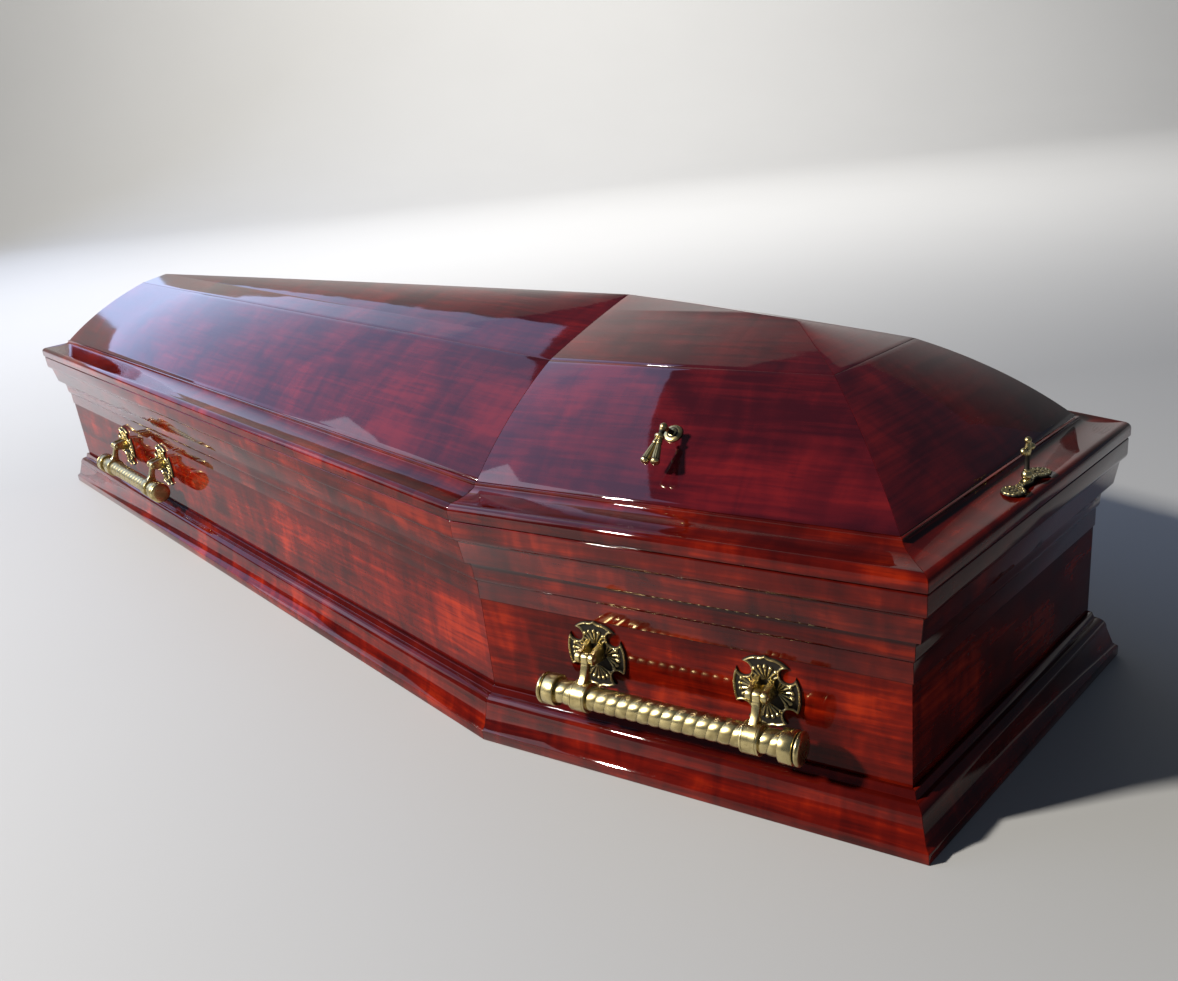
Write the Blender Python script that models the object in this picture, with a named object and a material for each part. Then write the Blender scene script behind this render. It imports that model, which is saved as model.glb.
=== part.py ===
"""Six-sided wooden coffin with a hipped lid, metal swing-bar handles, a tassel ornament and a lid screw.

Units are metres, +Z is up and +X points to the head end. The origin is on the underside, at the
middle of the footprint. Every board and moulding follows one six-sided base line: its section is
drawn as inset from that line against height, and its ends are mitred where two sides meet.
"""
import math

import bmesh
import bpy
from mathutils import Matrix, Vector

GAP = 0.0003

# Base line of the coffin, seen from above
TOTAL_LENGTH = 2.000
HEAD_RUN = 0.500
FOOT_WIDTH = 0.400
SHOULDER_WIDTH = 0.660
HEAD_WIDTH = 0.450

# Boards of the box
WALL_INSET = 0.029
WALL_THICKNESS = 0.022
FLOOR_THICKNESS = 0.018
BOX_HEIGHT = 0.270

# Base moulding, from the ground up
BASE_FASCIA_HEIGHT = 0.0115
BASE_BEVEL_HEIGHT = 0.0045
BASE_BEVEL_DEPTH = 0.005
BASE_FACE_HEIGHT = 0.021
BASE_FACE_LEAN = 0.0065
BASE_ROUND_HEIGHT = 0.013
BASE_ROUND_DEPTH = 0.011
BASE_CAP_HEIGHT = 0.008
BASE_CAP_LEAN = 0.0025

# Cornice, from the rim of the box down
CORNICE_LIP_INSET = 0.0045
CORNICE_LIP_EDGE = 0.0015
CORNICE_LIP_HEIGHT = 0.018
CORNICE_ROUND_HEIGHT = 0.007
CORNICE_ROUND_DEPTH = 0.0055
CORNICE_FASCIA_HEIGHT = 0.028
CORNICE_FASCIA_LEAN = 0.0045
CORNICE_STEP_DEPTH = 0.004
CORNICE_COVE_HEIGHT = 0.0195
CORNICE_COVE_DEPTH = 0.006
CORNICE_BEAD_HEIGHT = 0.0075
CORNICE_BEAD_DEPTH = 0.003
CORNICE_TAIL_HEIGHT = 0.022

# Brim of the lid, from its outer edge inwards
BRIM_INSET = 0.003
BRIM_EDGE = 0.0015
BRIM_EDGE_HEIGHT = 0.0095
BRIM_BEVEL_HEIGHT = 0.008
BRIM_BEVEL_DEPTH = 0.0075
BRIM_COVE_HEIGHT = 0.0085
BRIM_COVE_DEPTH = 0.0355
BRIM_FILLET_HEIGHT = 0.002
BRIM_FILLET_WIDTH = 0.003

# Slopes and roof of the lid
SLOPE_RUN = 0.1325
SLOPE_RISE = 0.0997
SLOPE_BOW = 0.007
LID_THICKNESS = 0.012
BREAK_CHAMFER = 0.0015
ROOF_RISE = 0.044
ROOF_CROWN = 0.002
PEAK_GAP = 0.0009
CURVE_STEPS = 6
MOULD_STEPS = 3

# Places of the handles, measured along the base line of their side
HEAD_HANDLE_AT = 0.250
FOOT_HANDLE_AT = 0.420

# Swing-bar handle
BAR_LENGTH = 0.294
BAR_RADIUS = 0.013
BAR_GROOVE = 0.0012
TWIST_PITCH = 0.026
TWIST_STRANDS = 2
TWIST_STATIONS = 4
TWIST_FACETS = 3
CAP_RADIUS = 0.017
CAP_LENGTH = 0.014
CAP_EDGE = 0.0015
CAP_NECK_LENGTH = 0.002
CAP_NECK_RADIUS = 0.0145
CAP_BUTTON_LENGTH = 0.005
ARM_FROM_END = 0.0505
ARM_LENGTH = 0.0405
ARM_REST_ANGLE = math.radians(19.0)
ARM_THICKNESS = 0.008
ARM_DEPTH = 0.008
ARM_FLARE = 0.004
ARM_EYE_RADIUS = 0.0060
COLLAR_LENGTH = 0.020
COLLAR_WALL = 0.0027
PIN_REACH = 0.021
PIN_RADIUS = 0.0025
PIN_CLEARANCE = 0.0005

# Rosette that carries one arm: four lobes with a round bite between each two
ROSETTE_HALF_WIDTH = 0.0356
ROSETTE_HALF_HEIGHT = 0.0380
ROSETTE_TOP_GAP = 0.001
ROSETTE_CENTRE_DROP = 0.006
ROSETTE_SQUARENESS = 2.2
ROSETTE_THICKNESS = 0.003
UPPER_BITE_ACROSS = 0.0226
UPPER_BITE_UP = 0.0208
UPPER_BITE_RADIUS = 0.0078
LOWER_BITE_ACROSS = 0.0250
LOWER_BITE_UP = -0.0240
LOWER_BITE_RADIUS = 0.0086
BITE_STEPS = 5
LOBE_STEPS = 4
FAN_FOOT_REACH = 0.006
FAN_REACH = 0.029
FAN_SPREAD = math.radians(19.0)
FAN_RELIEF = 0.0025
FAN_CREST_SHARE = 0.80
FAN_CREST_WIDTH = 0.35
FAN_STEPS = 3
LUG_THICKNESS = 0.006
LUG_SIDE_CLEARANCE = 0.001
LUG_EYE_RADIUS = 0.0065
LUG_ROOT_UP = 0.0105
LUG_ROOT_DOWN = 0.010

# Tassel ornament on the slope
TASSEL_AT = 0.222
TASSEL_SHARE_UP = 0.47
TASSEL_PLATE_RADIUS = 0.010
TASSEL_PLATE_THICKNESS = 0.003
TASSEL_POST_RADIUS = 0.003
TASSEL_REACH = 0.021
TASSEL_HANG = 0.006
TASSEL_KNOB_RADIUS = 0.0042
TASSEL_NECK_LENGTH = 0.013
TASSEL_NECK_RADIUS = 0.0028
TASSEL_KNOT_RADIUS = 0.0055
TASSEL_LENGTH = 0.030
TASSEL_SKIRT_LENGTH = 0.020
TASSEL_BAND_LENGTH = 0.0025
TASSEL_HEM_LENGTH = 0.003
TASSEL_BAND_RADIUS = 0.0031
TASSEL_TOP_RADIUS = 0.0024
TASSEL_END_RADIUS = 0.0046
TASSEL_SPREAD = math.radians(9.5)

# Lid screw with a cross for a head, on its pierced plate
SCREW_INSET = 0.021
SCREW_PLATE_LENGTH = 0.080
SCREW_PLATE_WIDTH = 0.024
SCREW_PLATE_WAIST = 0.010
SCREW_PLATE_THICKNESS = 0.0025
SCREW_HOLE_RADIUS = 0.0022
SCREW_SHAFT_RADIUS = 0.0024
SCREW_BALL_RADIUS = 0.0052
CROSS_HEIGHT = 0.046
CROSS_ARM_HEIGHT = 0.034
CROSS_SPAN = 0.024
CROSS_BAR_RADIUS = 0.0022
CROSS_KNOB_RADIUS = 0.0034
SMALL_SIDES = 8
ROUND_SIDES = 12
EYE_STEPS = 5
BALL_ROWS = 3
POLE_SHARE = 0.35
LOBE_SIDES = 10

FOOT_X, HEAD_X = -TOTAL_LENGTH / 2, TOTAL_LENGTH / 2
SHOULDER_X = HEAD_X - HEAD_RUN
ARM_SPACING = BAR_LENGTH - 2 * ARM_FROM_END
SIDE_NAMES = ("foot_near", "head_near", "head_end", "head_far", "foot_far", "foot_end")


def base_corners():
    """The six corners of the base line, counter-clockwise from the near corner of the foot end."""
    near = [Vector((FOOT_X, -FOOT_WIDTH / 2)), Vector((SHOULDER_X, -SHOULDER_WIDTH / 2)),
            Vector((HEAD_X, -HEAD_WIDTH / 2))]
    return near + [Vector((corner.x, -corner.y)) for corner in reversed(near)]


CORNERS = base_corners()


def side_direction(side):
    """Unit direction along one side of the base line."""
    return (CORNERS[(side + 1) % 6] - CORNERS[side % 6]).normalized()


def inward(side):
    """Unit direction from one side towards the inside."""
    along = side_direction(side)
    return Vector((-along.y, along.x))


def line_crossing(point_a, along_a, point_b, along_b):
    """Where two lines of the plan cross."""
    apart = point_b - point_a
    turn = along_a.x * along_b.y - along_a.y * along_b.x
    return point_a + along_a * ((apart.x * along_b.y - apart.y * along_b.x) / turn)


def inset_corner(corner, inset):
    """Corner of the base line after both of its sides have moved inwards."""
    before, after = corner - 1, corner
    return line_crossing(CORNERS[corner % 6] + inward(before) * inset, side_direction(before),
                         CORNERS[corner % 6] + inward(after) * inset, side_direction(after))


def side_ends(side, inset):
    """Both ends of an inset side, a hair short of its mitres, and never past the middle plane."""
    start, end = inset_corner(side, inset), inset_corner(side + 1, inset)
    along = side_direction(side)
    start, end = start + along * GAP, end - along * GAP
    if abs(along.x) < abs(along.y):
        return start, end
    facing = -1.0 if along.x > 0 else 1.0
    middle = facing * GAP / 2
    ends = []
    for point, mitre in ((start, inset_corner(side, inset)), (end, inset_corner(side + 1, inset))):
        if mitre.y * facing <= abs(middle):
            point = line_crossing(mitre, along, Vector((0.0, middle)), Vector((1.0, 0.0)))
        ends.append(point)
    return ends[0], ends[1]


def closing_inset(corner):
    """Inset at which a corner of the near side reaches the middle plane."""
    first, second = inset_corner(corner, 0.0), inset_corner(corner, 1.0)
    return first.y / (first.y - second.y)


def make_material(name, colour, roughness, metallic):
    """A plain surface with its own name."""
    material = bpy.data.materials.new(name)
    material.use_nodes = True
    shader = material.node_tree.nodes["Principled BSDF"]
    shader.inputs["Base Color"].default_value = (*colour, 1.0)
    shader.inputs["Roughness"].default_value = roughness
    shader.inputs["Metallic"].default_value = metallic
    return material


def wood(name):
    """Dark mahogany under lacquer."""
    return make_material(name + "_wood", (0.12, 0.012, 0.006), 0.12, 0.0)


def brass(name):
    """Antique brass."""
    return make_material(name + "_brass", (0.42, 0.33, 0.19), 0.32, 1.0)


def add_object(name, mesh, material, matrix=None, parent=None):
    """Put a mesh in the scene as one named piece."""
    piece = bpy.data.objects.new(name, mesh)
    mesh.materials.append(material)
    bpy.context.scene.collection.objects.link(piece)
    if parent is not None:
        piece.parent = parent
    if matrix is not None:
        piece.matrix_local = matrix
    return piece


def finish_mesh(name, form, sharp_angle=35.0):
    """Turn a bmesh into a closed mesh with outward faces, smooth but for its edges."""
    bmesh.ops.remove_doubles(form, verts=form.verts, dist=1e-6)
    bmesh.ops.dissolve_degenerate(form, edges=form.edges, dist=1e-6)
    bmesh.ops.recalc_face_normals(form, faces=form.faces)
    mesh = bpy.data.meshes.new(name)
    form.to_mesh(mesh)
    form.free()
    mesh.shade_smooth()
    mesh.set_sharp_from_angle(angle=math.radians(sharp_angle))
    return mesh


def skin(form, rings, capped=True):
    """Join rings of equal length into a tube, with a face over each end."""
    rows = [[form.verts.new(point) for point in ring] for ring in rings]
    for row, following in zip(rows, rows[1:]):
        for k, vertex in enumerate(row):
            after = (k + 1) % len(row)
            form.faces.new((vertex, row[after], following[after], following[k]))
    if capped:
        form.faces.new(rows[0])
        form.faces.new(rows[-1])
    return rows


def quarter(start, end, rises_first, steps):
    """Points of a quarter round after start, up to and with end."""
    points = []
    for k in range(1, steps + 1):
        turn = math.pi / 2 * k / steps
        share_rising, share_flat = math.sin(turn), 1 - math.cos(turn)
        share_in = share_flat if rises_first else share_rising
        share_up = share_rising if rises_first else share_flat
        points.append((start[0] + (end[0] - start[0]) * share_in, start[1] + (end[1] - start[1]) * share_up))
    return points


def base_section():
    """Section of the base moulding as inset against height."""
    back = WALL_INSET - GAP
    points = [(back, 0.0), (0.0, 0.0), (0.0, BASE_FASCIA_HEIGHT)]
    face_foot = (BASE_BEVEL_DEPTH, BASE_FASCIA_HEIGHT + BASE_BEVEL_HEIGHT)
    face_head = (face_foot[0] + BASE_FACE_LEAN, face_foot[1] + BASE_FACE_HEIGHT)
    cap_foot = (face_head[0] + BASE_ROUND_DEPTH, face_head[1] + BASE_ROUND_HEIGHT)
    cap_head = (cap_foot[0] + BASE_CAP_LEAN, cap_foot[1] + BASE_CAP_HEIGHT)
    points += [face_foot, face_head, *quarter(face_head, cap_foot, True, MOULD_STEPS), cap_head]
    return points + [(back, cap_head[1])]


def cornice_section():
    """Section of the cornice as inset against height, from the rim down the outside."""
    back = WALL_INSET - GAP
    lip = CORNICE_LIP_INSET
    round_top = (lip, BOX_HEIGHT - CORNICE_LIP_HEIGHT)
    fascia_top = (lip + CORNICE_ROUND_DEPTH, round_top[1] - CORNICE_ROUND_HEIGHT)
    fascia_foot = (fascia_top[0] + CORNICE_FASCIA_LEAN, fascia_top[1] - CORNICE_FASCIA_HEIGHT)
    cove_top = (fascia_foot[0] + CORNICE_STEP_DEPTH, fascia_foot[1])
    cove_foot = (cove_top[0] + CORNICE_COVE_DEPTH, cove_top[1] - CORNICE_COVE_HEIGHT)
    bead_foot = (cove_foot[0] + CORNICE_BEAD_DEPTH, cove_foot[1] - CORNICE_BEAD_HEIGHT)
    tail_foot = (bead_foot[0], bead_foot[1] - CORNICE_TAIL_HEIGHT)
    points = [(back, BOX_HEIGHT), (lip + CORNICE_LIP_EDGE, BOX_HEIGHT), (lip, BOX_HEIGHT - CORNICE_LIP_EDGE)]
    points += [round_top, *quarter(round_top, fascia_top, True, MOULD_STEPS), fascia_foot, cove_top]
    points += quarter(cove_top, cove_foot, False, MOULD_STEPS)
    points += quarter(cove_foot, bead_foot, True, MOULD_STEPS)
    return points + [tail_foot, (back, tail_foot[1])]


CORNICE_FOOT = min(height for inset, height in cornice_section())
PIN_HEIGHT = CORNICE_FOOT - ROSETTE_TOP_GAP - ROSETTE_HALF_HEIGHT + ROSETTE_CENTRE_DROP
LID_FOOT = BOX_HEIGHT + GAP
BRIM_ARRIS = (BRIM_INSET + BRIM_BEVEL_DEPTH, LID_FOOT + BRIM_EDGE_HEIGHT + BRIM_BEVEL_HEIGHT)
COVE_END = (BRIM_ARRIS[0] + BRIM_COVE_DEPTH, BRIM_ARRIS[1] + BRIM_COVE_HEIGHT)
BRIM_TOP = COVE_END[1] + BRIM_FILLET_HEIGHT
SLOPE_FOOT = (COVE_END[0] + BRIM_FILLET_WIDTH, BRIM_TOP + GAP)
BREAK = (SLOPE_FOOT[0] + SLOPE_RUN, SLOPE_FOOT[1] + SLOPE_RISE)
RIDGE_INSET = closing_inset(1)


def slope_point(share, depth=0.0):
    """Point on the bowed slope at a share of its way up, or as far below its surface as depth."""
    chord = math.hypot(SLOPE_RUN, SLOPE_RISE)
    normal = (-SLOPE_RISE / chord, SLOPE_RUN / chord)
    bow = 4 * SLOPE_BOW * share * (1 - share)
    steepness = 4 * SLOPE_BOW * (1 - 2 * share)
    along = (SLOPE_RUN + normal[0] * steepness, SLOPE_RISE + normal[1] * steepness)
    length = math.hypot(*along)
    return (SLOPE_FOOT[0] + SLOPE_RUN * share + normal[0] * bow + depth * along[1] / length,
            SLOPE_FOOT[1] + SLOPE_RISE * share + normal[1] * bow - depth * along[0] / length)


def slope_share(axis, target):
    """Share of the way up at which the under surface of the slope meets an inset or a height."""
    low, high = -0.5, 1.5
    for _ in range(50):
        middle = (low + high) / 2
        if slope_point(middle, LID_THICKNESS)[axis] < target:
            low = middle
        else:
            high = middle
    return (low + high) / 2


def slope_section():
    """Section of the slope: outer curve up, under curve back down."""
    outer = [slope_point(k / CURVE_STEPS) for k in range(CURVE_STEPS)]
    shoulder = slope_point(1 - BREAK_CHAMFER / SLOPE_RUN)
    outer += [shoulder, (BREAK[0] - GAP, BREAK[1] - BREAK_CHAMFER)]
    first, last = slope_share(1, SLOPE_FOOT[1]), slope_share(0, BREAK[0] - GAP)
    under = [slope_point(first + (last - first) * k / CURVE_STEPS, LID_THICKNESS)
             for k in range(CURVE_STEPS, -1, -1)]
    return outer + under


def brim_section():
    """Section of the lid's brim as inset against height."""
    back = slope_point(slope_share(1, SLOPE_FOOT[1]), LID_THICKNESS)[0]
    points = [(back, LID_FOOT), (BRIM_INSET + BRIM_EDGE, LID_FOOT), (BRIM_INSET, LID_FOOT + BRIM_EDGE)]
    edge_top = (BRIM_INSET, LID_FOOT + BRIM_EDGE_HEIGHT)
    points += [edge_top, *quarter(edge_top, BRIM_ARRIS, True, MOULD_STEPS)]
    points += quarter(BRIM_ARRIS, COVE_END, False, MOULD_STEPS + 1)
    return points + [(COVE_END[0], BRIM_TOP), (back, BRIM_TOP)]


def roof_height(inset):
    """Height of the roof's outer surface at an inset from the base line."""
    share = (inset - BREAK[0]) / (RIDGE_INSET - BREAK[0])
    return BREAK[1] + ROOF_RISE * share + 4 * ROOF_CROWN * share * (1 - share)


def mitred_length(name, side, section):
    """A board or moulding along one side, cut to its mitres at both ends."""
    form = bmesh.new()
    rings = [[], []]
    for inset, height in section:
        for ring, end in zip(rings, side_ends(side, inset)):
            ring.append((end.x, end.y, height))
    skin(form, rings)
    return finish_mesh(name, form)


def roof_panel(name, side):
    """One face of the roof, from the break line up to the ridge or to its own peak."""
    peak_corner = {"head_end": 2, "foot_end": 0}.get(SIDE_NAMES[side])
    stops = set()
    if peak_corner is None:
        top_inset = RIDGE_INSET - GAP
        stops.add(closing_inset(0 if "foot" in SIDE_NAMES[side] else 2))
    else:
        top_inset = closing_inset(peak_corner) - PEAK_GAP
    first = BREAK[0] + BREAK_CHAMFER
    steps = {first + (top_inset - first) * k / CURVE_STEPS for k in range(CURVE_STEPS + 1)}
    insets = sorted(steps | {stop for stop in stops if first < stop < top_inset})
    under_drop = LID_THICKNESS / math.cos(math.atan2(ROOF_RISE, RIDGE_INSET - BREAK[0]))
    levels = [(BREAK[0], BREAK[1] - BREAK_CHAMFER)] + [(inset, roof_height(inset)) for inset in insets]
    form = bmesh.new()
    rows = []
    for level, (inset, height) in enumerate(levels):
        surface = height if level else BREAK[1]
        ends = side_ends(side, inset)
        row = [[form.verts.new((end.x, end.y, at)) for end in ends] for at in (height, surface - under_drop)]
        rows.append(row)
    for (outer, under), (outer_next, under_next) in zip(rows, rows[1:]):
        form.faces.new((outer[0], outer[1], outer_next[1], outer_next[0]))
        form.faces.new((under[0], under_next[0], under_next[1], under[1]))
        for k in (0, 1):
            form.faces.new((outer[k], outer_next[k], under_next[k], under[k]))
    for outer, under in (rows[0], rows[-1]):
        form.faces.new((outer[0], outer[1], under[1], under[0]))
    return finish_mesh(name, form)


def build_box():
    """Floor board, six walls, six lengths of base moulding and six of cornice."""
    form = bmesh.new()
    rings = []
    for height in (0.0, FLOOR_THICKNESS):
        corners = [inset_corner(corner, WALL_INSET) for corner in range(6)]
        rings.append([(corner.x, corner.y, height) for corner in corners])
    skin(form, rings)
    add_object("floor_board", finish_mesh("floor_board", form), wood("floor_board"))
    wall_inner = WALL_INSET + WALL_THICKNESS
    wall_section = [(WALL_INSET, FLOOR_THICKNESS + GAP), (WALL_INSET, BOX_HEIGHT),
                    (wall_inner, BOX_HEIGHT), (wall_inner, FLOOR_THICKNESS + GAP)]
    sections = {"wall": wall_section, "base_moulding": base_section(), "cornice": cornice_section()}
    for kind, section in sections.items():
        for side, side_name in enumerate(SIDE_NAMES):
            name = f"{kind}_{side_name}"
            add_object(name, mitred_length(name, side, section), wood(name))


def build_lid():
    """Six lengths of brim, six bowed slopes and six faces of the roof."""
    for kind, section in {"lid_brim": brim_section(), "lid_slope": slope_section()}.items():
        for side, side_name in enumerate(SIDE_NAMES):
            name = f"{kind}_{side_name}"
            add_object(name, mitred_length(name, side, section), wood(name))
    for side, side_name in enumerate(SIDE_NAMES):
        name = f"lid_roof_{side_name}"
        add_object(name, roof_panel(name, side), wood(name))


def side_frame(side, distance, inset, height):
    """Frame on one side: X along it, Y inwards, Z up."""
    along = side_direction(side)
    place = CORNERS[side] + along * distance + inward(side) * inset
    turn = Matrix.Rotation(math.atan2(along.y, along.x), 4, "Z")
    return Matrix.Translation((place.x, place.y, height)) @ turn


def turned(form, stations, sides, matrix):
    """Round body about local Z, given as radius against height, closed at both ends."""
    rings = []
    for radius, height in stations:
        rings.append([matrix @ Vector((radius * math.cos(2 * math.pi * k / sides),
                                       radius * math.sin(2 * math.pi * k / sides), height))
                      for k in range(sides)])
    skin(form, rings)


def ball_stations(radius, centre):
    """Stations of a ball with small flat poles."""
    turns = [math.pi * (k + POLE_SHARE) / (BALL_ROWS + 2 * POLE_SHARE) for k in range(BALL_ROWS + 1)]
    return [(radius * math.sin(turn), centre - radius * math.cos(turn)) for turn in turns]


def body(name, draw):
    """A mesh of its own for one body that is joined to others afterwards."""
    form = bmesh.new()
    draw(form)
    return finish_mesh(name, form)


def join_bodies(name, meshes, cuts=()):
    """Weld overlapping bodies into one closed solid and cut holes in it."""
    carrier = bpy.data.objects.new(name, meshes[0])
    bpy.context.scene.collection.objects.link(carrier)
    tools = []
    for mesh, operation in [(m, "UNION") for m in meshes[1:]] + [(m, "DIFFERENCE") for m in cuts]:
        tool = bpy.data.objects.new(name + "_tool", mesh)
        bpy.context.scene.collection.objects.link(tool)
        step = carrier.modifiers.new(operation.title(), "BOOLEAN")
        step.operation = operation
        step.solver = "EXACT"
        step.object = tool
        tools.append(tool)
    evaluated = carrier.evaluated_get(bpy.context.evaluated_depsgraph_get())
    joined = bpy.data.meshes.new_from_object(evaluated)
    for leftover in [carrier, *tools]:
        bpy.data.objects.remove(leftover)
    form = bmesh.new()
    form.from_mesh(joined)
    return finish_mesh(name, form)


def lobe_share(point):
    """How far a point is towards the outline that the lobes fill: 1 is on it, less is inside."""
    power = ROSETTE_SQUARENESS
    across, up = abs(point.x) / ROSETTE_HALF_WIDTH, abs(point.y) / ROSETTE_HALF_HEIGHT
    return (across ** power + up ** power) ** (1 / power)


def polar(radius, turn):
    """Point at a distance and a turn from the middle, as across and up."""
    return Vector((radius * math.cos(turn), radius * math.sin(turn)))


def bite_arc(centre, radius):
    """Points of one round bite, counter-clockwise round the rosette, from outline to outline."""
    inwards = math.atan2(centre.y, centre.x) + math.pi
    spans = []
    for hand in (1, -1):
        inside, outside = 0.0, math.pi
        for _ in range(40):
            middle = (inside + outside) / 2
            if lobe_share(centre + polar(radius, inwards + hand * middle)) < 1:
                inside = middle
            else:
                outside = middle
        spans.append(inside)
    return [centre + polar(radius, inwards + spans[0] - (spans[0] + spans[1]) * k / BITE_STEPS)
            for k in range(BITE_STEPS + 1)]


def rosette_outline():
    """Outline of the rosette: a lobe each way, with a round bite between each two."""
    bites = [bite_arc(Vector((UPPER_BITE_ACROSS, UPPER_BITE_UP)), UPPER_BITE_RADIUS),
             bite_arc(Vector((-UPPER_BITE_ACROSS, UPPER_BITE_UP)), UPPER_BITE_RADIUS),
             bite_arc(Vector((-LOWER_BITE_ACROSS, LOWER_BITE_UP)), LOWER_BITE_RADIUS),
             bite_arc(Vector((LOWER_BITE_ACROSS, LOWER_BITE_UP)), LOWER_BITE_RADIUS)]
    outline = []
    for k, bite in enumerate(bites):
        outline += bite
        start, end = bite[-1], bites[(k + 1) % 4][0]
        turn = math.atan2(start.y, start.x)
        sweep = (math.atan2(end.y, end.x) - turn) % (2 * math.pi)
        for step in range(1, LOBE_STEPS):
            way = polar(1.0, turn + sweep * step / LOBE_STEPS)
            outline.append(way / lobe_share(way))
    return outline


def rosette_mesh():
    """Four-lobed plate with a raised fan on each lobe, two lugs and the pin between them.

    The origin is on the pin's axis, and the plate's back is PIN_REACH behind it, towards +Y.
    """
    front = PIN_REACH - ROSETTE_THICKNESS

    def draw_plate(form):
        skin(form, [[(point.x, depth, point.y - ROSETTE_CENTRE_DROP) for point in rosette_outline()]
                    for depth in (PIN_REACH - GAP, front)])

    bodies = [body("plate", draw_plate)]
    for quarter_turn in range(4):
        def draw_fan(form, middle=quarter_turn * math.pi / 2):
            turns = [middle + FAN_SPREAD * (2 * k / FAN_STEPS - 1) for k in range(FAN_STEPS + 1)]
            rim = [polar(FAN_FOOT_REACH, middle)] + [polar(FAN_REACH, turn) for turn in turns]
            crest = polar(FAN_REACH, middle) * FAN_CREST_SHARE
            top = [crest + (point - crest) * FAN_CREST_WIDTH for point in rim]
            skin(form, [[(point.x, depth, point.y - ROSETTE_CENTRE_DROP) for point in ring]
                        for ring, depth in ((rim, front + ROSETTE_THICKNESS / 2), (top, front - FAN_RELIEF))])
        bodies.append(body("fan", draw_fan))
    inner = ARM_THICKNESS / 2 + LUG_SIDE_CLEARANCE
    root = front + ROSETTE_THICKNESS / 2
    outline = [(root, LUG_ROOT_UP), (root, -LUG_ROOT_DOWN)]
    for k in range(EYE_STEPS + 1):
        turn = -math.pi / 2 - math.pi * k / EYE_STEPS
        outline.append((LUG_EYE_RADIUS * math.cos(turn), LUG_EYE_RADIUS * math.sin(turn)))
    for hand in (-1, 1):
        def draw_lug(form, hand=hand):
            skin(form, [[(hand * across, depth, height) for depth, height in outline]
                        for across in (inner, inner + LUG_THICKNESS)])
        bodies.append(body("lug", draw_lug))
    half_pin = inner + LUG_THICKNESS / 2

    def draw_pin(form):
        turned(form, [(PIN_RADIUS, -half_pin), (PIN_RADIUS, half_pin)], SMALL_SIDES,
               Matrix.Rotation(math.pi / 2, 4, "Y"))

    bodies.append(body("pin", draw_pin))
    return join_bodies("rosette", bodies)


def arm_mesh():
    """Strap with an eye at the pin and a collar round the bar; the origin is on the pin's axis."""
    across = Matrix.Rotation(math.pi / 2, 4, "Y")
    bore = BAR_RADIUS + GAP
    collar_radius = bore + COLLAR_WALL
    bar_place = Vector((0.0, -ARM_LENGTH * math.sin(ARM_REST_ANGLE), -ARM_LENGTH * math.cos(ARM_REST_ANGLE)))
    down = bar_place.normalized()
    sideways = Vector((0.0, down.z, -down.y))
    to_collar = Matrix.Translation(bar_place) @ across
    sides = ROUND_SIDES
    half_collar, half_strap = COLLAR_LENGTH / 2, ARM_THICKNESS / 2
    tangent = ARM_LENGTH - math.sqrt(collar_radius ** 2 - (ARM_DEPTH / 2 + ARM_FLARE) ** 2) + COLLAR_WALL / 2

    def draw_strap(form):
        outline = []
        for k in range(EYE_STEPS + 1):
            turn = math.pi * k / EYE_STEPS
            outline.append((math.cos(turn) * ARM_EYE_RADIUS, -math.sin(turn) * ARM_EYE_RADIUS))
        outline += [(-ARM_DEPTH / 2, ARM_EYE_RADIUS), (-ARM_DEPTH / 2, tangent - 2 * ARM_FLARE),
                    (-ARM_DEPTH / 2 - ARM_FLARE, tangent), (ARM_DEPTH / 2 + ARM_FLARE, tangent),
                    (ARM_DEPTH / 2, tangent - 2 * ARM_FLARE), (ARM_DEPTH / 2, ARM_EYE_RADIUS)]
        skin(form, [[Vector((hand * half_strap, 0.0, 0.0)) + sideways * side + down * along
                     for side, along in outline] for hand in (-1, 1)])

    def draw_collar(form):
        turned(form, [(collar_radius, -half_collar), (collar_radius, half_collar)], sides, to_collar)

    def draw_bore(form):
        turned(form, [(bore / math.cos(math.pi / sides), -2 * half_collar),
                      (bore / math.cos(math.pi / sides), 2 * half_collar)], sides, to_collar)

    def draw_eye_hole(form):
        radius = (PIN_RADIUS + PIN_CLEARANCE) / math.cos(math.pi / SMALL_SIDES)
        turned(form, [(radius, -2 * half_strap), (radius, 2 * half_strap)], SMALL_SIDES, across)

    return join_bodies("arm", [body("collar", draw_collar), body("strap", draw_strap)],
                       [body("bore", draw_bore), body("eye", draw_eye_hole)])


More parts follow.
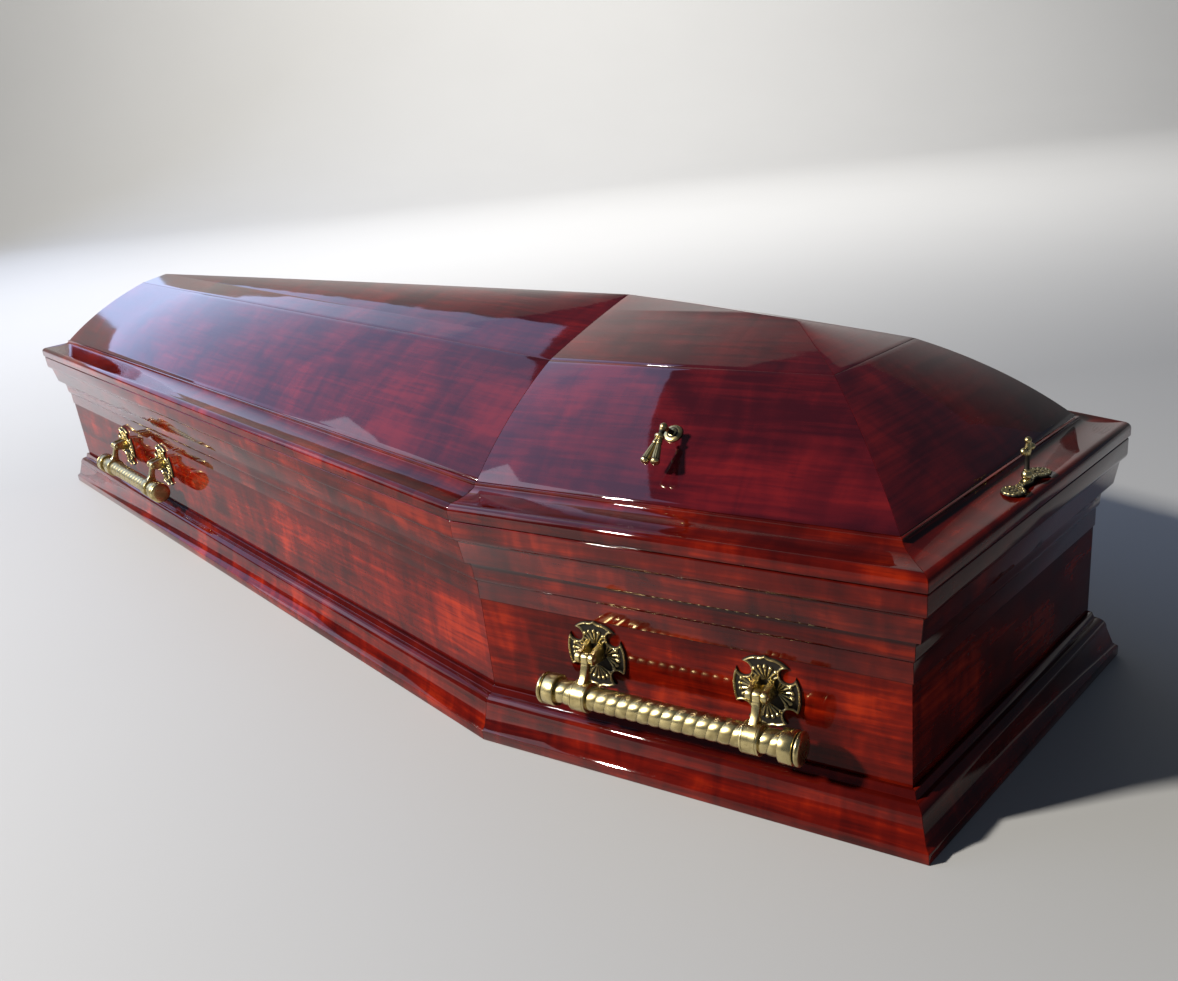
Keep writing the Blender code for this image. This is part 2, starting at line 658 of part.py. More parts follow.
def bar_mesh():
    """Rope-twisted bar along X with a turned cap on each end; the origin is on the bar's axis."""
    half = BAR_LENGTH / 2
    cap_start = half - CAP_LENGTH - CAP_NECK_LENGTH - CAP_BUTTON_LENGTH
    points = TWIST_FACETS * TWIST_STRANDS
    across = Matrix.Rotation(math.pi / 2, 4, "Y")
    count = round(2 * cap_start / TWIST_PITCH * TWIST_STATIONS)
    twisted = []
    for station in range(count + 1):
        place = -cap_start + 2 * cap_start * station / count
        ring = []
        for k in range(points):
            turn = 2 * math.pi * (k / points - place / TWIST_PITCH)
            depth = 0.0 if k % TWIST_FACETS == 0 else BAR_GROOVE
            ring.append(across @ Vector(((BAR_RADIUS - depth) * math.cos(turn),
                                         (BAR_RADIUS - depth) * math.sin(turn), place)))
        twisted.append(ring)

    def draw_twist(form):
        skin(form, twisted)

    bodies = [body("twist", draw_twist)]
    neck = cap_start + CAP_LENGTH
    button = neck + CAP_NECK_LENGTH
    stations = [(CAP_RADIUS, cap_start), (CAP_RADIUS, neck), (CAP_NECK_RADIUS, neck + CAP_NECK_LENGTH / 4),
                (CAP_NECK_RADIUS, button), (CAP_RADIUS, button), (CAP_RADIUS, half - CAP_EDGE),
                (CAP_RADIUS - CAP_EDGE, half)]
    for hand in (-1, 1):
        def draw_cap(form, hand=hand):
            turned(form, [(radius, hand * height) for radius, height in stations], ROUND_SIDES, across)
        bodies.append(body("cap", draw_cap))
    return join_bodies("bar", bodies)


def build_handles():
    """Four swing-bar handles, each hung from two rosettes on a side wall."""
    rosette, arm, bar = rosette_mesh(), arm_mesh(), bar_mesh()
    far_head_at = (CORNERS[4] - CORNERS[3]).length - HEAD_HANDLE_AT
    far_foot_at = (CORNERS[5] - CORNERS[4]).length - FOOT_HANDLE_AT
    places = {"foot_near": (0, FOOT_HANDLE_AT), "head_near": (1, HEAD_HANDLE_AT),
              "head_far": (3, far_head_at), "foot_far": (4, far_foot_at)}
    bar_place = Vector((0.0, -ARM_LENGTH * math.sin(ARM_REST_ANGLE), -ARM_LENGTH * math.cos(ARM_REST_ANGLE)))
    for name, (side, distance) in places.items():
        axis = bpy.data.objects.new(f"handle_axis_{name}", None)
        bpy.context.scene.collection.objects.link(axis)
        axis.matrix_world = side_frame(side, distance, WALL_INSET - PIN_REACH, PIN_HEIGHT)
        for label, hand in (("a", -1), ("b", 1)):
            shift = Matrix.Translation((hand * ARM_SPACING / 2, 0.0, 0.0))
            plate_name, arm_name = f"rosette_{name}_{label}", f"handle_arm_{name}_{label}"
            add_object(plate_name, rosette.copy(), brass(plate_name), shift, axis)
            add_object(arm_name, arm.copy(), brass(arm_name), shift, axis)
        bar_name = f"handle_bar_{name}"
        add_object(bar_name, bar.copy(), brass(bar_name), Matrix.Translation(bar_place), axis)


def tassel_mesh():
    """Cast ornament: plate, leaning post, knob, knot and two tassels that hang along -Y."""
    def draw_plate(form):
        turned(form, [(TASSEL_PLATE_RADIUS, GAP), (TASSEL_PLATE_RADIUS, TASSEL_PLATE_THICKNESS),
                      (TASSEL_POST_RADIUS, TASSEL_PLATE_THICKNESS + TASSEL_POST_RADIUS / 2)],
               SMALL_SIDES, Matrix.Identity(4))

    def draw_post(form):
        turned(form, [(TASSEL_POST_RADIUS, TASSEL_PLATE_THICKNESS / 2),
                      (TASSEL_POST_RADIUS, math.hypot(TASSEL_REACH, TASSEL_HANG))],
               SMALL_SIDES, Matrix.Rotation(math.atan2(TASSEL_HANG, TASSEL_REACH), 4, "X"))

    hanging = (Matrix.Translation((0.0, -TASSEL_HANG, TASSEL_REACH))
               @ Matrix.Rotation(math.pi / 2, 4, "X"))

    def draw_neck(form):
        knot = TASSEL_NECK_LENGTH
        turned(form, [*ball_stations(TASSEL_KNOB_RADIUS, 0.0)[:-1],
                      (TASSEL_NECK_RADIUS, TASSEL_KNOB_RADIUS),
                      (TASSEL_NECK_RADIUS, knot - TASSEL_KNOT_RADIUS / 2), (TASSEL_KNOT_RADIUS, knot),
                      (TASSEL_NECK_RADIUS, knot + TASSEL_KNOT_RADIUS / 2)], SMALL_SIDES, hanging)

    bodies = [body("plate", draw_plate), body("post", draw_post), body("neck", draw_neck)]
    for hand in (-1, 1):
        swing = (hanging @ Matrix.Translation((0.0, 0.0, TASSEL_NECK_LENGTH))
                 @ Matrix.Rotation(hand * TASSEL_SPREAD, 4, "Y"))

        def draw_tassel(form, swing=swing):
            skirt = TASSEL_LENGTH - TASSEL_SKIRT_LENGTH
            turned(form, [(TASSEL_TOP_RADIUS, 0.0), (TASSEL_BAND_RADIUS, skirt - TASSEL_BAND_LENGTH),
                          (TASSEL_TOP_RADIUS, skirt), (TASSEL_END_RADIUS, TASSEL_LENGTH - TASSEL_HEM_LENGTH),
                          (TASSEL_END_RADIUS, TASSEL_LENGTH - TASSEL_HEM_LENGTH / 3),
                          (TASSEL_END_RADIUS / 2, TASSEL_LENGTH)], SMALL_SIDES, swing)

        bodies.append(body("tassel", draw_tassel))
    return join_bodies("tassel_ornament", bodies)


def slope_frame(side, distance, share):
    """Frame on a slope: X along the side, Y up the slope, Z out of its surface."""
    inset, height = slope_point(share)
    ahead = slope_point(share + 0.01)
    pitch = math.atan2(ahead[1] - height, ahead[0] - inset)
    return side_frame(side, distance, inset, height) @ Matrix.Rotation(pitch, 4, "X")


def screw_plate_mesh():
    """Two-lobed plate along X, pierced for the screw and for one fixing in each lobe."""
    lobe = SCREW_PLATE_WIDTH / 2
    reach = SCREW_PLATE_LENGTH / 2 - lobe
    waist = SCREW_PLATE_WAIST / 2
    start = math.asin(waist / lobe)
    outline = []
    for hand in (1, -1):
        for k in range(LOBE_SIDES + 1):
            turn = 2 * (math.pi - start) * (k / LOBE_SIDES - 0.5)
            outline.append((hand * (reach + lobe * math.cos(turn)), hand * lobe * math.sin(turn)))

    def draw_plate(form):
        skin(form, [[(across, along, height) for across, along in outline]
                    for height in (GAP, SCREW_PLATE_THICKNESS)])

    cuts = []
    holes = ((0.0, SCREW_SHAFT_RADIUS + GAP), (-reach, SCREW_HOLE_RADIUS), (reach, SCREW_HOLE_RADIUS))
    for place, radius in holes:
        def draw_hole(form, place=place, radius=radius):
            turned(form, [(radius / math.cos(math.pi / SMALL_SIDES), -SCREW_PLATE_THICKNESS),
                          (radius / math.cos(math.pi / SMALL_SIDES), 2 * SCREW_PLATE_THICKNESS)],
                   SMALL_SIDES, Matrix.Translation((place, 0.0, 0.0)))
        cuts.append(body("hole", draw_hole))
    return join_bodies("lid_screw_plate", [body("plate", draw_plate)], cuts)


def screw_mesh():
    """Thumb screw: shaft and ball along Z, and a cross with knobbed ends in the XZ plane."""
    ball = SCREW_PLATE_THICKNESS + GAP + SCREW_BALL_RADIUS
    upright = Matrix.Identity(4)

    def draw_shaft(form):
        turned(form, [(SCREW_SHAFT_RADIUS, GAP), (SCREW_SHAFT_RADIUS, CROSS_HEIGHT - CROSS_KNOB_RADIUS)],
               SMALL_SIDES, upright)

    def draw_ball(form):
        turned(form, ball_stations(SCREW_BALL_RADIUS, ball), SMALL_SIDES, upright)

    def draw_bar(form):
        half = CROSS_SPAN / 2 - CROSS_KNOB_RADIUS
        turned(form, [(CROSS_BAR_RADIUS, -half), (CROSS_BAR_RADIUS, half)], SMALL_SIDES,
               Matrix.Translation((0.0, 0.0, CROSS_ARM_HEIGHT)) @ Matrix.Rotation(math.pi / 2, 4, "Y"))

    bodies = [body("shaft", draw_shaft), body("ball", draw_ball), body("bar", draw_bar)]
    side_reach = CROSS_SPAN / 2 - CROSS_KNOB_RADIUS
    knobs = ((0.0, CROSS_HEIGHT - CROSS_KNOB_RADIUS), (-side_reach, CROSS_ARM_HEIGHT),
             (side_reach, CROSS_ARM_HEIGHT))
    for across, height in knobs:
        def draw_knob(form, across=across, height=height):
            turned(form, ball_stations(CROSS_KNOB_RADIUS, height), SMALL_SIDES,
                   Matrix.Translation((across, 0.0, 0.0)))
        bodies.append(body("knob", draw_knob))
    return join_bodies("lid_screw", bodies)


def build_ornaments():
    """Tassel ornament on the near head slope, and the lid screw on the brim of the head end."""
    tassel = slope_frame(1, TASSEL_AT, TASSEL_SHARE_UP)
    add_object("tassel_ornament", tassel_mesh(), brass("tassel_ornament"), tassel)
    share = (SCREW_INSET + SCREW_PLATE_WIDTH / 2 - BRIM_ARRIS[0]) / BRIM_COVE_DEPTH
    seat = BRIM_ARRIS[1] + BRIM_COVE_HEIGHT * (1 - math.cos(math.asin(min(share, 1.0))))
    frame = side_frame(2, HEAD_WIDTH / 2, SCREW_INSET, seat)
    add_object("lid_screw_plate", screw_plate_mesh(), brass("lid_screw_plate"), frame)
    add_object("lid_screw", screw_mesh(), brass("lid_screw"), frame)


def main():
    """Build the whole coffin in an emptied scene."""
    for leftover in list(bpy.data.objects):
        bpy.data.objects.remove(leftover, do_unlink=True)
    build_box()
    build_lid()
    build_handles()
    build_ornaments()


main()
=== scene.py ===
"""Looks of a six-sided lacquered coffin: mitred mahogany mouldings and boards, and antique brass fittings.

Every wooden length follows the plan's six-sided base line. Its section is drawn as inset from that line
against height, pushed along its side and cut at its mitres. The fittings are turned, swept or raised
as relief, and sit in the frames of the sides that carry them. Sizes are in metres.
"""

import enum
import logging
import math
from collections.abc import Callable, Sequence
from dataclasses import dataclass, field
from typing import Any

import bmesh
import bpy
import numpy as np
from mathutils import Matrix, Vector


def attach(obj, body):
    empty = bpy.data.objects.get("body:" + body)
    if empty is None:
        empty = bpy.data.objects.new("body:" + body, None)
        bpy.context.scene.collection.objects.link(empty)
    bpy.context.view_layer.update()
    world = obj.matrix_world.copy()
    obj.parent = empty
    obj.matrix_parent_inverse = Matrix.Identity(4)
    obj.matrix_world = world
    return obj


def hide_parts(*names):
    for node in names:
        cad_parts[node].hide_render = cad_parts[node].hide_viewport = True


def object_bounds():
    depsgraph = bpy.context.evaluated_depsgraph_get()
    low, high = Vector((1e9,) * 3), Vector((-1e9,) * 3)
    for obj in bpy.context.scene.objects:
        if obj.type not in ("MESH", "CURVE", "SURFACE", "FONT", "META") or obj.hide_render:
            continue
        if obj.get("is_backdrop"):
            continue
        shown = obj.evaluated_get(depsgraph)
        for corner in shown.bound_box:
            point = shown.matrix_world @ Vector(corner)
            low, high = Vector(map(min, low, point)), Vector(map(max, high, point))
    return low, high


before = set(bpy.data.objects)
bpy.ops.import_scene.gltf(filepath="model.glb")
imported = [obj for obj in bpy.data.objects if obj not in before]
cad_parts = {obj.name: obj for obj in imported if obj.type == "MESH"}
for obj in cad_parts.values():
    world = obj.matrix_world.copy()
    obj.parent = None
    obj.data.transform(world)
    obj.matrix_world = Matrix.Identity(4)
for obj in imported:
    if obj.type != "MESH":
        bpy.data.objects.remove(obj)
CAD_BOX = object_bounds()

LOG = logging.getLogger("coffin")
CAD_GAP = 0.0003
SEAM = 0.00006
COFFIN_BODY = "coffin"
RELIEF_MARGIN = 1.05

Point = tuple[float, float]
Colour = tuple[float, float, float]
Density = tuple[float, float, float]


class Slot(enum.Enum):
    """Material slots of the record."""

    MAHOGANY = "mahogany"
    BRASS = "antique_brass"


class Side(enum.IntEnum):
    """Sides of the plan, counter-clockwise from the near corner of the foot end."""

    FOOT_NEAR = 0
    HEAD_NEAR = 1
    HEAD_END = 2
    HEAD_FAR = 3
    FOOT_FAR = 4
    FOOT_END = 5

    @property
    def label(self) -> str:
        """Name of the side as the nodes spell it."""
        return self.name.lower()


@dataclass(frozen=True)
class Plan:
    """Six-sided base line of the coffin, seen from above."""

    foot_run: float = 1.500
    head_run: float = 0.500
    foot_width: float = 0.400
    shoulder_width: float = 0.660
    head_width: float = 0.450

    def corners(self) -> list[Vector]:
        """Corners of the base line in the order of the sides."""
        shoulder = (self.foot_run - self.head_run) / 2
        near = [Vector((shoulder - self.foot_run, -self.foot_width / 2, 0.0)),
                Vector((shoulder, -self.shoulder_width / 2, 0.0)),
                Vector((shoulder + self.head_run, -self.head_width / 2, 0.0))]
        return near + [Vector((corner.x, -corner.y, 0.0)) for corner in reversed(near)]

    def direction(self, side: int) -> Vector:
        """Unit direction along a side."""
        corners = self.corners()
        return (corners[(side + 1) % 6] - corners[side % 6]).normalized()

    def inward(self, side: int) -> Vector:
        """Unit direction from a side towards the inside."""
        along = self.direction(side)
        return Vector((-along.y, along.x, 0.0))

    def length(self, side: int) -> float:
        """Length of a side."""
        corners = self.corners()
        return (corners[(side + 1) % 6] - corners[side % 6]).length

    def angle(self, side: int) -> float:
        """Turn of a side about Z."""
        along = self.direction(side)
        return math.atan2(along.y, along.x)

    def mitre(self, corner: int) -> Vector:
        """Unit direction of the mitre at a corner, towards the inside."""
        before, after = self.inward(corner - 1), self.inward(corner)
        return (before + after).normalized()

    def closing_inset(self, corner: int) -> float:
        """Inset at which a corner of the near side reaches the middle plane."""
        mitre = self.mitre(corner)
        reach = -self.corners()[corner % 6].y / mitre.y
        return reach * mitre.dot(self.inward(corner))

    def side_frame(self, side: int, distance: float, inset: float, height: float) -> Matrix:
        """Frame on a side: X along it, Y inwards, Z up.

        Args:
            side: Side of the plan.
            distance: Way along the side from its first corner.
            inset: Way inwards from the base line.
            height: Height over the floor.

        Returns:
            The frame as a matrix.
        """
        place = self.corners()[side] + self.direction(side) * distance + self.inward(side) * inset
        return Matrix.Translation((place.x, place.y, height)) @ Matrix.Rotation(self.angle(side), 4, "Z")


class Bench:
    """Modelling steps that the pieces share, done with Blender's own operators."""

    @staticmethod
    def start() -> None:
        """Leave edit mode and deselect everything."""
        if bpy.context.object is not None and bpy.context.object.mode != "OBJECT":
            bpy.ops.object.mode_set(mode="OBJECT")
        bpy.ops.object.select_all(action="DESELECT")

    @staticmethod
    def only(piece: bpy.types.Object) -> None:
        """Select one piece alone and make it active."""
        Bench.start()
        piece.select_set(True)
        bpy.context.view_layer.objects.active = piece

    @staticmethod
    def outline(name: str, points: Sequence[Vector]) -> bpy.types.Object:
        """Start a piece from a filled circle whose rim is drawn out to an outline.

        Args:
            name: Name of the piece.
            points: Outline in order, one point for each vertex of the rim.

        Returns:
            The flat piece.
        """
        Bench.start()
        bpy.ops.mesh.primitive_circle_add(vertices=len(points), radius=1.0, fill_type="NGON")
        piece = bpy.context.active_object
        piece.name = piece.data.name = name
        for vertex, point in zip(piece.data.vertices, points):
            vertex.co = point
        return piece

    @staticmethod
    def pushed(name: str, points: Sequence[Vector], way: Vector) -> bpy.types.Object:
        """An outline pushed out into a closed solid.

        Args:
            name: Name of the piece.
            points: Outline in order.
            way: Direction and length of the push.

        Returns:
            The solid.
        """
        piece = Bench.outline(name, points)
        bpy.ops.object.mode_set(mode="EDIT")
        bpy.ops.mesh.select_all(action="SELECT")
        bpy.ops.mesh.extrude_region_move(TRANSFORM_OT_translate={"value": way})
        bpy.ops.mesh.select_all(action="SELECT")
        bpy.ops.mesh.normals_make_consistent(inside=False)
        bpy.ops.object.mode_set(mode="OBJECT")
        return piece

    @staticmethod
    def cut(piece: bpy.types.Object, place: Vector, outwards: Vector) -> None:
        """Cut a piece with a plane, drop what lies on its outer side and close the cut.

        Args:
            piece: Piece to cut.
            place: Point on the plane.
            outwards: Normal of the plane, towards what is dropped.
        """
        Bench.only(piece)
        bpy.ops.object.mode_set(mode="EDIT")
        bpy.ops.mesh.select_all(action="SELECT")
        bpy.ops.mesh.bisect(plane_co=place, plane_no=outwards, use_fill=True, clear_outer=True)
        bpy.ops.object.mode_set(mode="OBJECT")

    @staticmethod
    def soften(piece: bpy.types.Object, width: float, segments: int = 2, angle: float = 35.0) -> None:
        """Round the edges of a piece and shade it smooth between them.

        Args:
            piece: Piece to finish.
            width: Width of the rounding, or 0 for none.
            segments: Faces across the rounding.
            angle: Edges sharper than this, in degrees, are rounded and shaded as edges.
        """
        Bench.only(piece)
        if width > 0:
            bevel = piece.modifiers.new("rounded", "BEVEL")
            bevel.width = width
            bevel.segments = segments
            bevel.limit_method = "ANGLE"
            bevel.angle_limit = math.radians(angle)
            bpy.ops.object.modifier_apply(modifier=bevel.name)
        bpy.ops.object.shade_smooth_by_angle(angle=math.radians(angle))

    @staticmethod
    def turned(name: str, stations: Sequence[Point], sides: int) -> bpy.types.Object:
        """Turn a round piece about Z, station by station, closed at both ends.

        Args:
            name: Name of the piece.
            stations: Radius against height, from one end to the other.
            sides: Vertices round each station.

        Returns:
            The turned piece.
        """
        Bench.start()
        bpy.ops.mesh.primitive_circle_add(vertices=sides, radius=stations[0][0], fill_type="NGON",
                                          location=(0.0, 0.0, stations[0][1]))
        piece = bpy.context.active_object
        piece.name = piece.data.name = name
        bpy.ops.object.transform_apply(location=True, rotation=False, scale=False)
        bpy.ops.object.mode_set(mode="EDIT")
        bpy.ops.mesh.select_all(action="SELECT")
        for (radius, height), (following, top) in zip(stations, stations[1:]):
            bpy.ops.mesh.extrude_region_move(TRANSFORM_OT_translate={"value": (0.0, 0.0, top - height)})
            grow = following / radius
            if abs(grow - 1.0) > 1e-6:
                bpy.ops.transform.resize(value=(grow, grow, 1.0), center_override=(0.0, 0.0, top))
        bpy.ops.mesh.select_all(action="SELECT")
        bpy.ops.mesh.normals_make_consistent(inside=False)
        bpy.ops.object.mode_set(mode="OBJECT")
        return piece

    @staticmethod
    def relief(name: str, width: float, height: float, spacing: float,
               level: Callable[[np.ndarray, np.ndarray], np.ndarray]) -> bpy.types.Object:
        """Raise a relief from a fine grid and cut it off flat at its back.

        Args:
            name: Name of the piece.
            width: Width of the grid along X.
            height: Height of the grid along Y.
            spacing: Distance between the grid's lines.
            level: Height of the surface over its back at X and Y; it is below 0 outside the outline.

        Returns:
            The closed relief, with its back on Z = 0.
        """
        Bench.start()
        bpy.ops.mesh.primitive_grid_add(x_subdivisions=round(width / spacing), size=1.0,
                                        y_subdivisions=round(height / spacing))
        piece = bpy.context.active_object
        piece.name = piece.data.name = name
        places = np.zeros((len(piece.data.vertices), 3))
        piece.data.vertices.foreach_get("co", places.reshape(-1))
        places[:, 0] *= width
        places[:, 1] *= height
        places[:, 2] = level(places[:, 0], places[:, 1])
        piece.data.vertices.foreach_set("co", places.reshape(-1))
        piece.data.update()
        Bench.cut(piece, Vector((0.0, 0.0, 0.0)), Vector((0.0, 0.0, -1.0)))
        return piece

    @staticmethod
    def ball(name: str, radius: float, place: Vector, segments: int = 20) -> bpy.types.Object:
        """A small cast ball.

        Args:
            name: Name of the piece.
            radius: Its radius.
            place: Its centre.
            segments: Faces round it.

        Returns:
            The ball.
        """
        Bench.start()
        bpy.ops.mesh.primitive_uv_sphere_add(segments=segments, ring_count=segments // 2, radius=radius)
        piece = bpy.context.active_object
        piece.name = piece.data.name = name
        piece.data.transform(Matrix.Translation(place))
        return piece

    @staticmethod
    def joined(pieces: Sequence[bpy.types.Object]) -> bpy.types.Object:
        """Join pieces into the first one."""
        Bench.start()
        for piece in pieces:
            piece.select_set(True)
        bpy.context.view_layer.objects.active = pieces[0]
        bpy.ops.object.join()
        return pieces[0]

    @staticmethod
    def copied(piece: bpy.types.Object, name: str, matrix: Matrix) -> bpy.types.Object:
        """Copy a piece with a mesh of its own, and put the copy in its place.

        Args:
            piece: Piece to copy.
            name: Name of the copy.
            matrix: Where the copy goes.

        Returns:
            The copy, whose object stays at the origin.
        """
        copy = piece.copy()
        copy.data = piece.data.copy()
        copy.name = copy.data.name = name
        bpy.context.scene.collection.objects.link(copy)
        copy.data.transform(matrix)
        return copy

    @staticmethod
    def discard(piece: bpy.types.Object) -> None:
        """Remove a pattern piece after its copies are made."""
        bpy.data.objects.remove(piece, do_unlink=True)


class Value:
    """A shader socket that takes part in Python expressions."""

    def __init__(self, shader: "Shader", socket: bpy.types.NodeSocket) -> None:
        """Keep the socket and the shader that it belongs to."""
        self.shader = shader
        self.socket = socket

    def _maths(self, operation: str, *operands: Any) -> "Value":
        """A Math node on this value and others."""
        return self.shader.node("ShaderNodeMath", {"operation": operation}, dict(enumerate(operands)))

    def __add__(self, other: Any) -> "Value":
        """Sum."""
        return self._maths("ADD", self, other)

    __radd__ = __add__

    def __sub__(self, other: Any) -> "Value":
        """Difference."""
        return self._maths("SUBTRACT", self, other)

    def __rsub__(self, other: Any) -> "Value":
        """Difference from a number."""
        return self._maths("SUBTRACT", other, self)

    def __mul__(self, other: Any) -> "Value":
        """Product."""
        return self._maths("MULTIPLY", self, other)

    __rmul__ = __mul__

    def between(self, low: float, high: float, start: float = 0.0, end: float = 1.0) -> "Value":
        """Smooth step from start at low to end at high."""
        return self.shader.node("ShaderNodeMapRange", {"interpolation_type": "SMOOTHSTEP", "clamp": True},
                                {"Value": self, "From Min": low, "From Max": high, "To Min": start,
                                 "To Max": end})


class Shader:
    """One material's node tree."""

    def __init__(self, name: str) -> None:
        """Start a material with its Principled shader."""
        self.material = bpy.data.materials.new(name)
        self.material.use_nodes = True
        self.tree = self.material.node_tree
        self.surface = self.tree.nodes["Principled BSDF"]

    def node(self, kind: str, settings: dict[str, Any], inputs: dict[Any, Any], output: int = 0) -> Value:
        """Add any node.

        Args:
            kind: The node's type.
            settings: Its settings; "stops" fills a colour ramp with positions and colours.
            inputs: Values or links of its sockets, by name or number.
            output: Number of the output that is used.

        Returns:
            That output.
        """
        node = self.tree.nodes.new(kind)
        for key, value in settings.items():
            if key == "stops":
                ramp = node.color_ramp.elements
                while len(ramp) < len(value):
                    ramp.new(0.5)
                for element, (position, colour) in zip(ramp, value):
                    element.position = position
                    element.color = (*colour, 1.0)
            else:
                setattr(node, key, value)
        for key, value in inputs.items():
            self.feed(node.inputs[key], value)
        return Value(self, node.outputs[output])

    def feed(self, socket: bpy.types.NodeSocket, value: Any) -> None:
        """Link a value to a socket, or set the socket to a plain one."""
        if isinstance(value, Value):
            self.tree.links.new(value.socket, socket)
        else:
            socket.default_value = value

    def set(self, **inputs: Any) -> None:
        """Feed the Principled shader; underscores in the names stand for spaces."""
        for name, value in inputs.items():
            self.feed(self.surface.inputs[name.replace("_", " ").title().replace("Ior", "IOR")], value)

    def place(self, turn: float = 0.0, scale: Sequence[float] = (1.0, 1.0, 1.0),
              shift: Sequence[float] = (0.0, 0.0, 0.0)) -> Value:
        """Object coordinates, turned about Z, stretched and moved.

        Args:
            turn: Turn of the pattern's X axis about Z.
            scale: How dense the pattern is along each of its axes.
            shift: Where the pattern starts.

        Returns:
            The vector.
        """
        here = self.node("ShaderNodeTexCoord", {}, {}, 3)
        level = self.node("ShaderNodeMapping", {"vector_type": "POINT"},
                          {"Vector": here, "Rotation": (0.0, 0.0, -turn)})
        return self.node("ShaderNodeMapping", {"vector_type": "POINT"},
                         {"Vector": level, "Scale": tuple(scale), "Location": tuple(shift)})

    def noise(self, vector: Value, scale: float, detail: float = 2.0, distortion: float = 0.0) -> Value:
        """A noise pattern between 0 and 1."""
        return self.node("ShaderNodeTexNoise", {}, {"Vector": vector, "Scale": scale, "Detail": detail,
                                                    "Distortion": distortion})

    def blend(self, share: Any, low: Any, high: Any) -> Value:
        """Mix two colours."""
        return self.node("ShaderNodeMix", {"data_type": "RGBA"}, {0: share, 6: low, 7: high}, 2)


@dataclass(frozen=True)
class Mahogany:
    """Red mahogany stain under thick clear lacquer, with a mottled figure and painted shade in bands by
    height.
    """

    name: str
    turn: float
    shift: float = 0.0
    dark: Colour = (0.027, 0.0015, 0.0012)
    middle: Colour = (0.125, 0.0050, 0.0013)
    bright: Colour = (0.290, 0.0180, 0.0020)
    # Painted shade: share of the dark colour against height, for the recesses and creases of each piece.
    toning: tuple[Point, ...] = ((0.0, 0.0),)
    flame: float = 0.75
    top: float = 0.45
    ior: float = 1.45
    grain_density: Density = (9.0, 150.0, 150.0)
    mottle_density: Density = (9.0, 12.0, 12.0)
    ribbon_density: Density = (38.0, 9.0, 9.0)
    pore_density: Density = (60.0, 900.0, 900.0)
    ripple_density: Density = (14.0, 34.0, 34.0)
    dust_density: Density = (420.0, 420.0, 420.0)
    pore_depth: float = 0.45
    ripple_strength: float = 0.10
    ripple_height: float = 0.0022

    def material(self) -> bpy.types.Material:
        """Build the material.

        Returns:
            The finished material.
        """
        shader = Shader(self.name)
        start = (self.shift, 0.37 * self.shift, 0.0)
        grain = shader.noise(shader.place(self.turn, self.grain_density, start), 1.0, 4.0, 0.5)
        mottle = shader.noise(shader.place(self.turn, self.mottle_density, start), 1.0, 4.0, 0.8)
        ribbon = shader.noise(shader.place(self.turn, self.ribbon_density, start), 1.0, 3.0, 0.7)
        pores = shader.noise(shader.place(self.turn, self.pore_density, start), 1.0, 2.0)
        figure = mottle * 0.46 + ribbon * 0.24 + grain * 0.30
        lit = figure.between(0.38, 0.60)
        flames = figure.between(0.52, 0.66) * self.flame
        colour = shader.blend(lit, (*self.dark, 1.0), (*self.middle, 1.0))
        colour = shader.blend(flames, colour, (*self.bright, 1.0))
        colour = shader.blend(pores.between(0.60, 0.78) * self.pore_depth, colour, (*self.dark, 1.0))
        # Painted shade: blends towards the dark colour in bands by height, where the mouldings' coves and
        # steps, the wall under the cornice and the lid's creases would lie in shade.
        if len(self.toning) > 1:
            height = shader.node("ShaderNodeSeparateXYZ", {}, {0: shader.place()}, 2)
            stops = [(z / self.top, (share, share, share)) for z, share in self.toning]
            shade_share = shader.node("ShaderNodeValToRGB", {"stops": stops}, {0: height * (1 / self.top)})
            colour = shader.blend(shade_share * (1.15 - 0.45 * mottle), colour, (*self.dark, 1.0))
        ripple = shader.noise(shader.place(self.turn, self.ripple_density), 1.0, 1.0)
        dust = shader.noise(shader.place(0.0, self.dust_density), 1.0, 1.0)
        height = ripple + 0.02 * dust
        normal = shader.node("ShaderNodeBump", {}, {"Strength": self.ripple_strength,
                                                    "Distance": self.ripple_height, "Height": height})
        rough = dust.between(0.60, 0.80, 0.040, 0.10)
        shader.set(base_color=colour, roughness=rough, metallic=0.0, ior=self.ior, normal=normal)
        return shader.material


@dataclass(frozen=True)
class Brass:
    """Antique brass: rubbed bright on what stands proud, nearly black in the recesses."""

    name: str
    bright: Colour = (0.56, 0.46, 0.22)
    worn: Colour = (0.33, 0.26, 0.115)
    recess: Colour = (0.014, 0.011, 0.008)

    def material(self) -> bpy.types.Material:
        """Build the material.

        Returns:
            The finished material, which reads the mesh's recess attribute.
        """
        shader = Shader(self.name)
        depth = shader.node("ShaderNodeAttribute", {"attribute_name": "recess"}, {}, 2)
        cloud = shader.noise(shader.place(0.0, (70.0, 70.0, 70.0)), 1.0, 4.0, 0.4)
        speck = shader.noise(shader.place(0.0, (900.0, 900.0, 900.0)), 1.0, 2.0)
        grime = (depth + 0.16 * (cloud - 0.5)).between(0.46, 0.78)
        colour = shader.blend(cloud.between(0.40, 0.68), (*self.bright, 1.0), (*self.worn, 1.0))
        colour = shader.blend(grime, colour, (*self.recess, 1.0))
        colour = shader.blend(speck.between(0.62, 0.80) * 0.35, colour, (*self.recess, 1.0))
        rough = cloud.between(0.3, 0.7, 0.22, 0.36) + 0.30 * grime
        normal = shader.node("ShaderNodeBump", {}, {"Strength": 0.18, "Distance": 0.0002,
                                                    "Height": speck + cloud})
        shader.set(base_color=colour, roughness=rough, metallic=1.0 - 0.35 * grime, normal=normal)
        return shader.material


